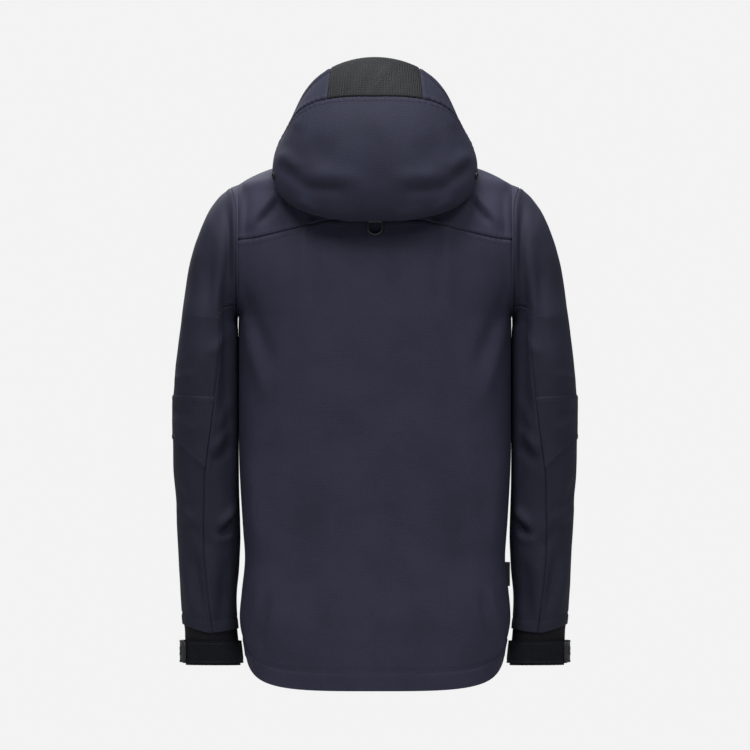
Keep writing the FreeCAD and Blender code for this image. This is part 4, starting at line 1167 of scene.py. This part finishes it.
for side_name, x0 in (("left", 3.7), ("right", -18.7)):
    strip_piece(side_name + "_zip_tape_cloth", x0, x0 + 15, ZIP_FOOT, ZIP_HEAD, ZIP_SINK - 0.4, TAPE_CLOTH,
                0.8, side_name + "_zip_tape")
strip_piece("storm_flap_cloth", -28, 28, 28, 807, 10.4, FACING, 1.4, "storm_flap")


def tooth_block(tree, entry):
    block = add_node(tree, "GeometryNodeMeshCube", {"Size": entry.outputs["Tooth Size"]})
    return add_node(tree, "GeometryNodeSubdivisionSurface", {"Mesh": block.outputs["Mesh"], "Level": 1,
                                                             "Edge Crease": 0.55}).outputs[0]


tooth_tree = row_tree("zip_tooth_rows", (("Tooth Size", "Vector"),), tooth_block)
TOOTH_PITCH = 3.2
for side_name, sign, shift in (("left", 1, 0.0), ("right", -1, TOOTH_PITCH / 2)):
    line = on_zip(sign * 2.0, np.linspace(31 + shift, 813 + shift, 60), ZIP_SINK)
    teeth = grown(side_name + "_zip_teeth_row", tooth_tree, [line],
                  {"Pitch": TOOTH_PITCH / 1000, "Tooth Size": (0.0034, 0.0026, 0.0022), "Finish": ACETAL})
    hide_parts(side_name + "_zip_teeth")
    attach(teeth, "torso")

LEAN = math.atan(ZIP_SLOPE)
UP = np.array((0, math.sin(LEAN), math.cos(LEAN)))
SIDEWAYS = np.array((1.0, 0, 0))


def cast(name, height, inward, half_a, half_b, radius, steps, material, body, replaced):
    centre = on_zip(0, height, inward)
    made = plate(name, centre, SIDEWAYS, UP, half_a, half_b, radius, steps, material, nodes=replaced)
    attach(made, body)
    return made


cast("zip_bottom_box_moulding", 25.0, ZIP_SINK, 3.6, 4.5, 1.0,
     [(-2.3, 0.5), (-1.8, 0), (1.8, 0), (2.3, 0.5), (2.3, 1.2), (1.9, 1.6)], ACETAL, "torso",
     ("zip_bottom_box",))
PULL_TOP = 796.0
cast("main_zip_pull_moulding", PULL_TOP - 17, ZIP_SINK - 4.4, 3.5, 17.0, 2.4,
     [(-0.7, 0.5), (-0.4, 0.0), (0.4, 0.0), (0.7, 0.5), (0.7, 1.3), (0.45, 1.6)], RUBBER,
     "zip_pull", ("main_zip_pull",))


def finished(node_names, material):
    """Give CAD nodes that are shown as they are the material of the real part."""
    for node_name in node_names:
        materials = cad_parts[node_name].data.materials
        materials.clear()
        materials.append(material)


finished(("main_zip_slider", "left_pocket_slider", "right_pocket_slider"), PAINTED_METAL)


# ------------------------------------------------------------------ hand pockets
# Each front has an upright pocket zip under a narrow welded flap, with a mesh pocket bag inside.
POCKET_Q = 0.6                   # where the opening lies, as a share of the way round the front
WELT_HALF = 7.5


def pocket_place(sign, across, height, proud):
    """A point across and up the pocket opening, `proud` mm in front of the front panel."""
    q = np.broadcast_to(sign * POCKET_Q + 0 * across, np.broadcast(across, height).shape).astype(float)
    level = np.broadcast_to(height, q.shape).astype(float)
    spot = torso_section(FRONT, q, level)
    ahead = torso_section(FRONT, q + 0.01, level) - torso_section(FRONT, q - 0.01, level)
    ahead = ahead / np.linalg.norm(ahead, axis=-1, keepdims=True)
    out = np.cross(ahead, np.array((0, 0, 1.0)))
    return spot + ahead * np.asarray(across)[..., None] + out * np.asarray(proud)[..., None]


for side_name, sign in SIDES:
    def opening(u, v):
        return pocket_place(sign, mix(-WELT_HALF, WELT_HALF, u), mix(175.0, 345.0, v), 3.6 + 0 * u)

    points = grid(opening, np.linspace(0, 1, 40), spread(170, 70))
    across = mix(-WELT_HALF, WELT_HALF, np.linspace(0, 1, 40))[:, None]
    lift = -1.1 * bump_at(across, 0, 0.7) - 0.5 * bump_at(np.abs(across), 5.4, 0.8)
    ends = np.minimum(edge_distances(points)["b"], edge_distances(points)["t"])
    lift = lift - 7.0 * np.maximum(smooth(6.7, WELT_HALF, np.abs(across)), smooth(1.6, 0, ends))
    points = raised(points, lift)
    welt = cloth_piece(side_name + "_pocket_welt", points, TAPE_CLOTH, thickness=1.4,
                       nodes=(side_name + "_pocket_zip",))
    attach(welt, "torso")

    def bag(u, v):
        q = mix(0.28, 0.8, u) if sign > 0 else mix(-0.8, -0.28, u)
        return torso_section(FRONT, q, mix(120.0, 350.0, v))

    plain = grid(bag, np.linspace(0, 1, 30), np.linspace(0, 1, 40))
    pocket_bag = cloth_piece(side_name + "_pocket_bag_cloth", plain - normals_of(plain) * 5.4, LINING_MESH,
                             thickness=0.7, nodes=(side_name + "_pocket_bag",))
    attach(pocket_bag, "torso")


# ------------------------------------------------------------------ small fittings
# A nylon D-ring hangs in a webbing tab from the yoke seam, just under the hood. A hang loop is sewn inside
# the neck, a blank folded label stands in the side seam, and metal eyelets let the cords out.
NYLON = plain_material("glossy_moulded_nylon", "#060608", 0.3, 0.5, 0.02, wear="#202026", coat=0.2)
WEBBING = cloth_material("woven_webbing", "#0B0B0F", "#1A1A21", 1.6, 0.6, roughness=0.75, twill=0.78)
LABEL_CLOTH = cloth_material("woven_damask_label", "#15151B", "#22222A", 0.8, 0.12, roughness=0.6)
EYELET_METAL = plain_material("black_oxide_brass", "#0B0B0D", 0.35, 0.3, 0.02, metallic=0.8, wear="#2E2C28")
finished(("hood_eyelets", "hem_eyelets"), EYELET_METAL)


def tube_along(path, radius, sides, up, closed=False):
    """Round sections along a path that lies in a plane whose normal is up."""
    path = np.asarray(path, float)
    if closed:
        ahead = np.roll(path, -1, 0) - np.roll(path, 1, 0)
    else:
        ahead = np.gradient(path, axis=0)
    ahead = ahead / np.linalg.norm(ahead, axis=1, keepdims=True)
    side = np.cross(ahead, up)
    turn = np.arange(sides) * 2 * math.pi / sides
    return (path[:, None] + radius * (np.cos(turn)[None, :, None] * side[:, None]
                                      + np.sin(turn)[None, :, None] * np.asarray(up, float)))


def node_box(node_name):
    """Low and high corners of a CAD node, in mm from the hem."""
    return (np.array(corner) * 1000 + np.array((0, 0, NECK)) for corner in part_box(node_name))


low, high = node_box("d_ring")
RING_BAR = 4.0
centre = (low + high) / 2
reach = (high[0] - low[0]) / 2 - RING_BAR / 2
top_z = high[2] - RING_BAR / 2
foot_z = low[2] + RING_BAR / 2
turn = np.linspace(0, math.pi, 40)
round_z = foot_z + reach
arc = stack(reach * np.cos(turn), centre[1], round_z - reach * np.sin(turn))
corner_turn = np.linspace(0, math.pi / 2, 8)
CORNER = 2.2
left_corner = stack(-reach + CORNER - CORNER * np.cos(corner_turn), centre[1],
                    top_z - CORNER + CORNER * np.sin(corner_turn))
right_corner = left_corner[::-1] * np.array((-1.0, 1, 1))
bar = stack(np.linspace(-reach + CORNER, reach - CORNER, 14)[1:-1], centre[1], top_z)
ring_path = np.concatenate([arc, left_corner, bar, right_corner])
d_ring = ring_piece("d_ring_moulding", tube_along(ring_path, RING_BAR / 2, 16, (0, 1.0, 0), closed=True), NYLON,
                    closed=True, nodes=("d_ring",))
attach(d_ring, "ring")

low, high = node_box("d_ring_webbing")
tab_y = (low[1] + high[1]) / 2


def webbing_tab(u, v):
    """Two layers of webbing that close round the bar of the ring."""
    height = mix(low[2] - 0.4, high[2] + 3, v)
    return stack(mix(9.5, -9.5, u), tab_y + 0.9, height)


points = formed(grid(webbing_tab, spread(19, 16), spread(23, 16)), "", (), seed=4, wave=0.1)
webbing = cloth_piece("d_ring_webbing_cloth", points, WEBBING, thickness=1.8,
                      nodes=("d_ring_webbing",))
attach(webbing, "torso")

low, high = node_box("hang_loop")


def loop_band(u, v):
    """Narrow band of the hang loop, bowed away from the neck between its sewn ends."""
    bow = np.sin(math.pi * v)
    return stack(mix(-27.0, 27.0, v), (low[1] + high[1]) / 2 - 0.6 * bow,
                 high[2] - 3 - 11 * bow**0.7 + mix(-2.8, 2.8, u))


points = grid(loop_band, np.linspace(0, 1, 8), np.linspace(0, 1, 60))
hang_loop = cloth_piece("hang_loop_cloth", points, WEBBING, thickness=1.4, nodes=("hang_loop",))
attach(hang_loop, "torso")

low, high = node_box("side_label")


def label_fold(u, v):
    """The label is one piece of tape folded in half, its fold away from the seam."""
    run = mix(-1.0, 1.0, u)
    out = (1 - np.abs(run)**3) * (high[0] - low[0] + 2)
    return stack(high[0] + 2 - out, (low[1] + high[1]) / 2 + 0.9 * np.sin(run * math.pi / 2),
                 mix(low[2], high[2], v))


points = grid(label_fold, np.linspace(0, 1, 24), np.linspace(0, 1, 20))
label = cloth_piece("side_label_cloth", points, LABEL_CLOTH, thickness=0.35,
                    nodes=("side_label",))
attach(label, "torso")

STIFF_PLASTIC = plain_material("polyethylene_stiffener", "#1A1A20", 0.5, 0.8, 0.03)
finished(("visor_stiffener",), STIFF_PLASTIC)
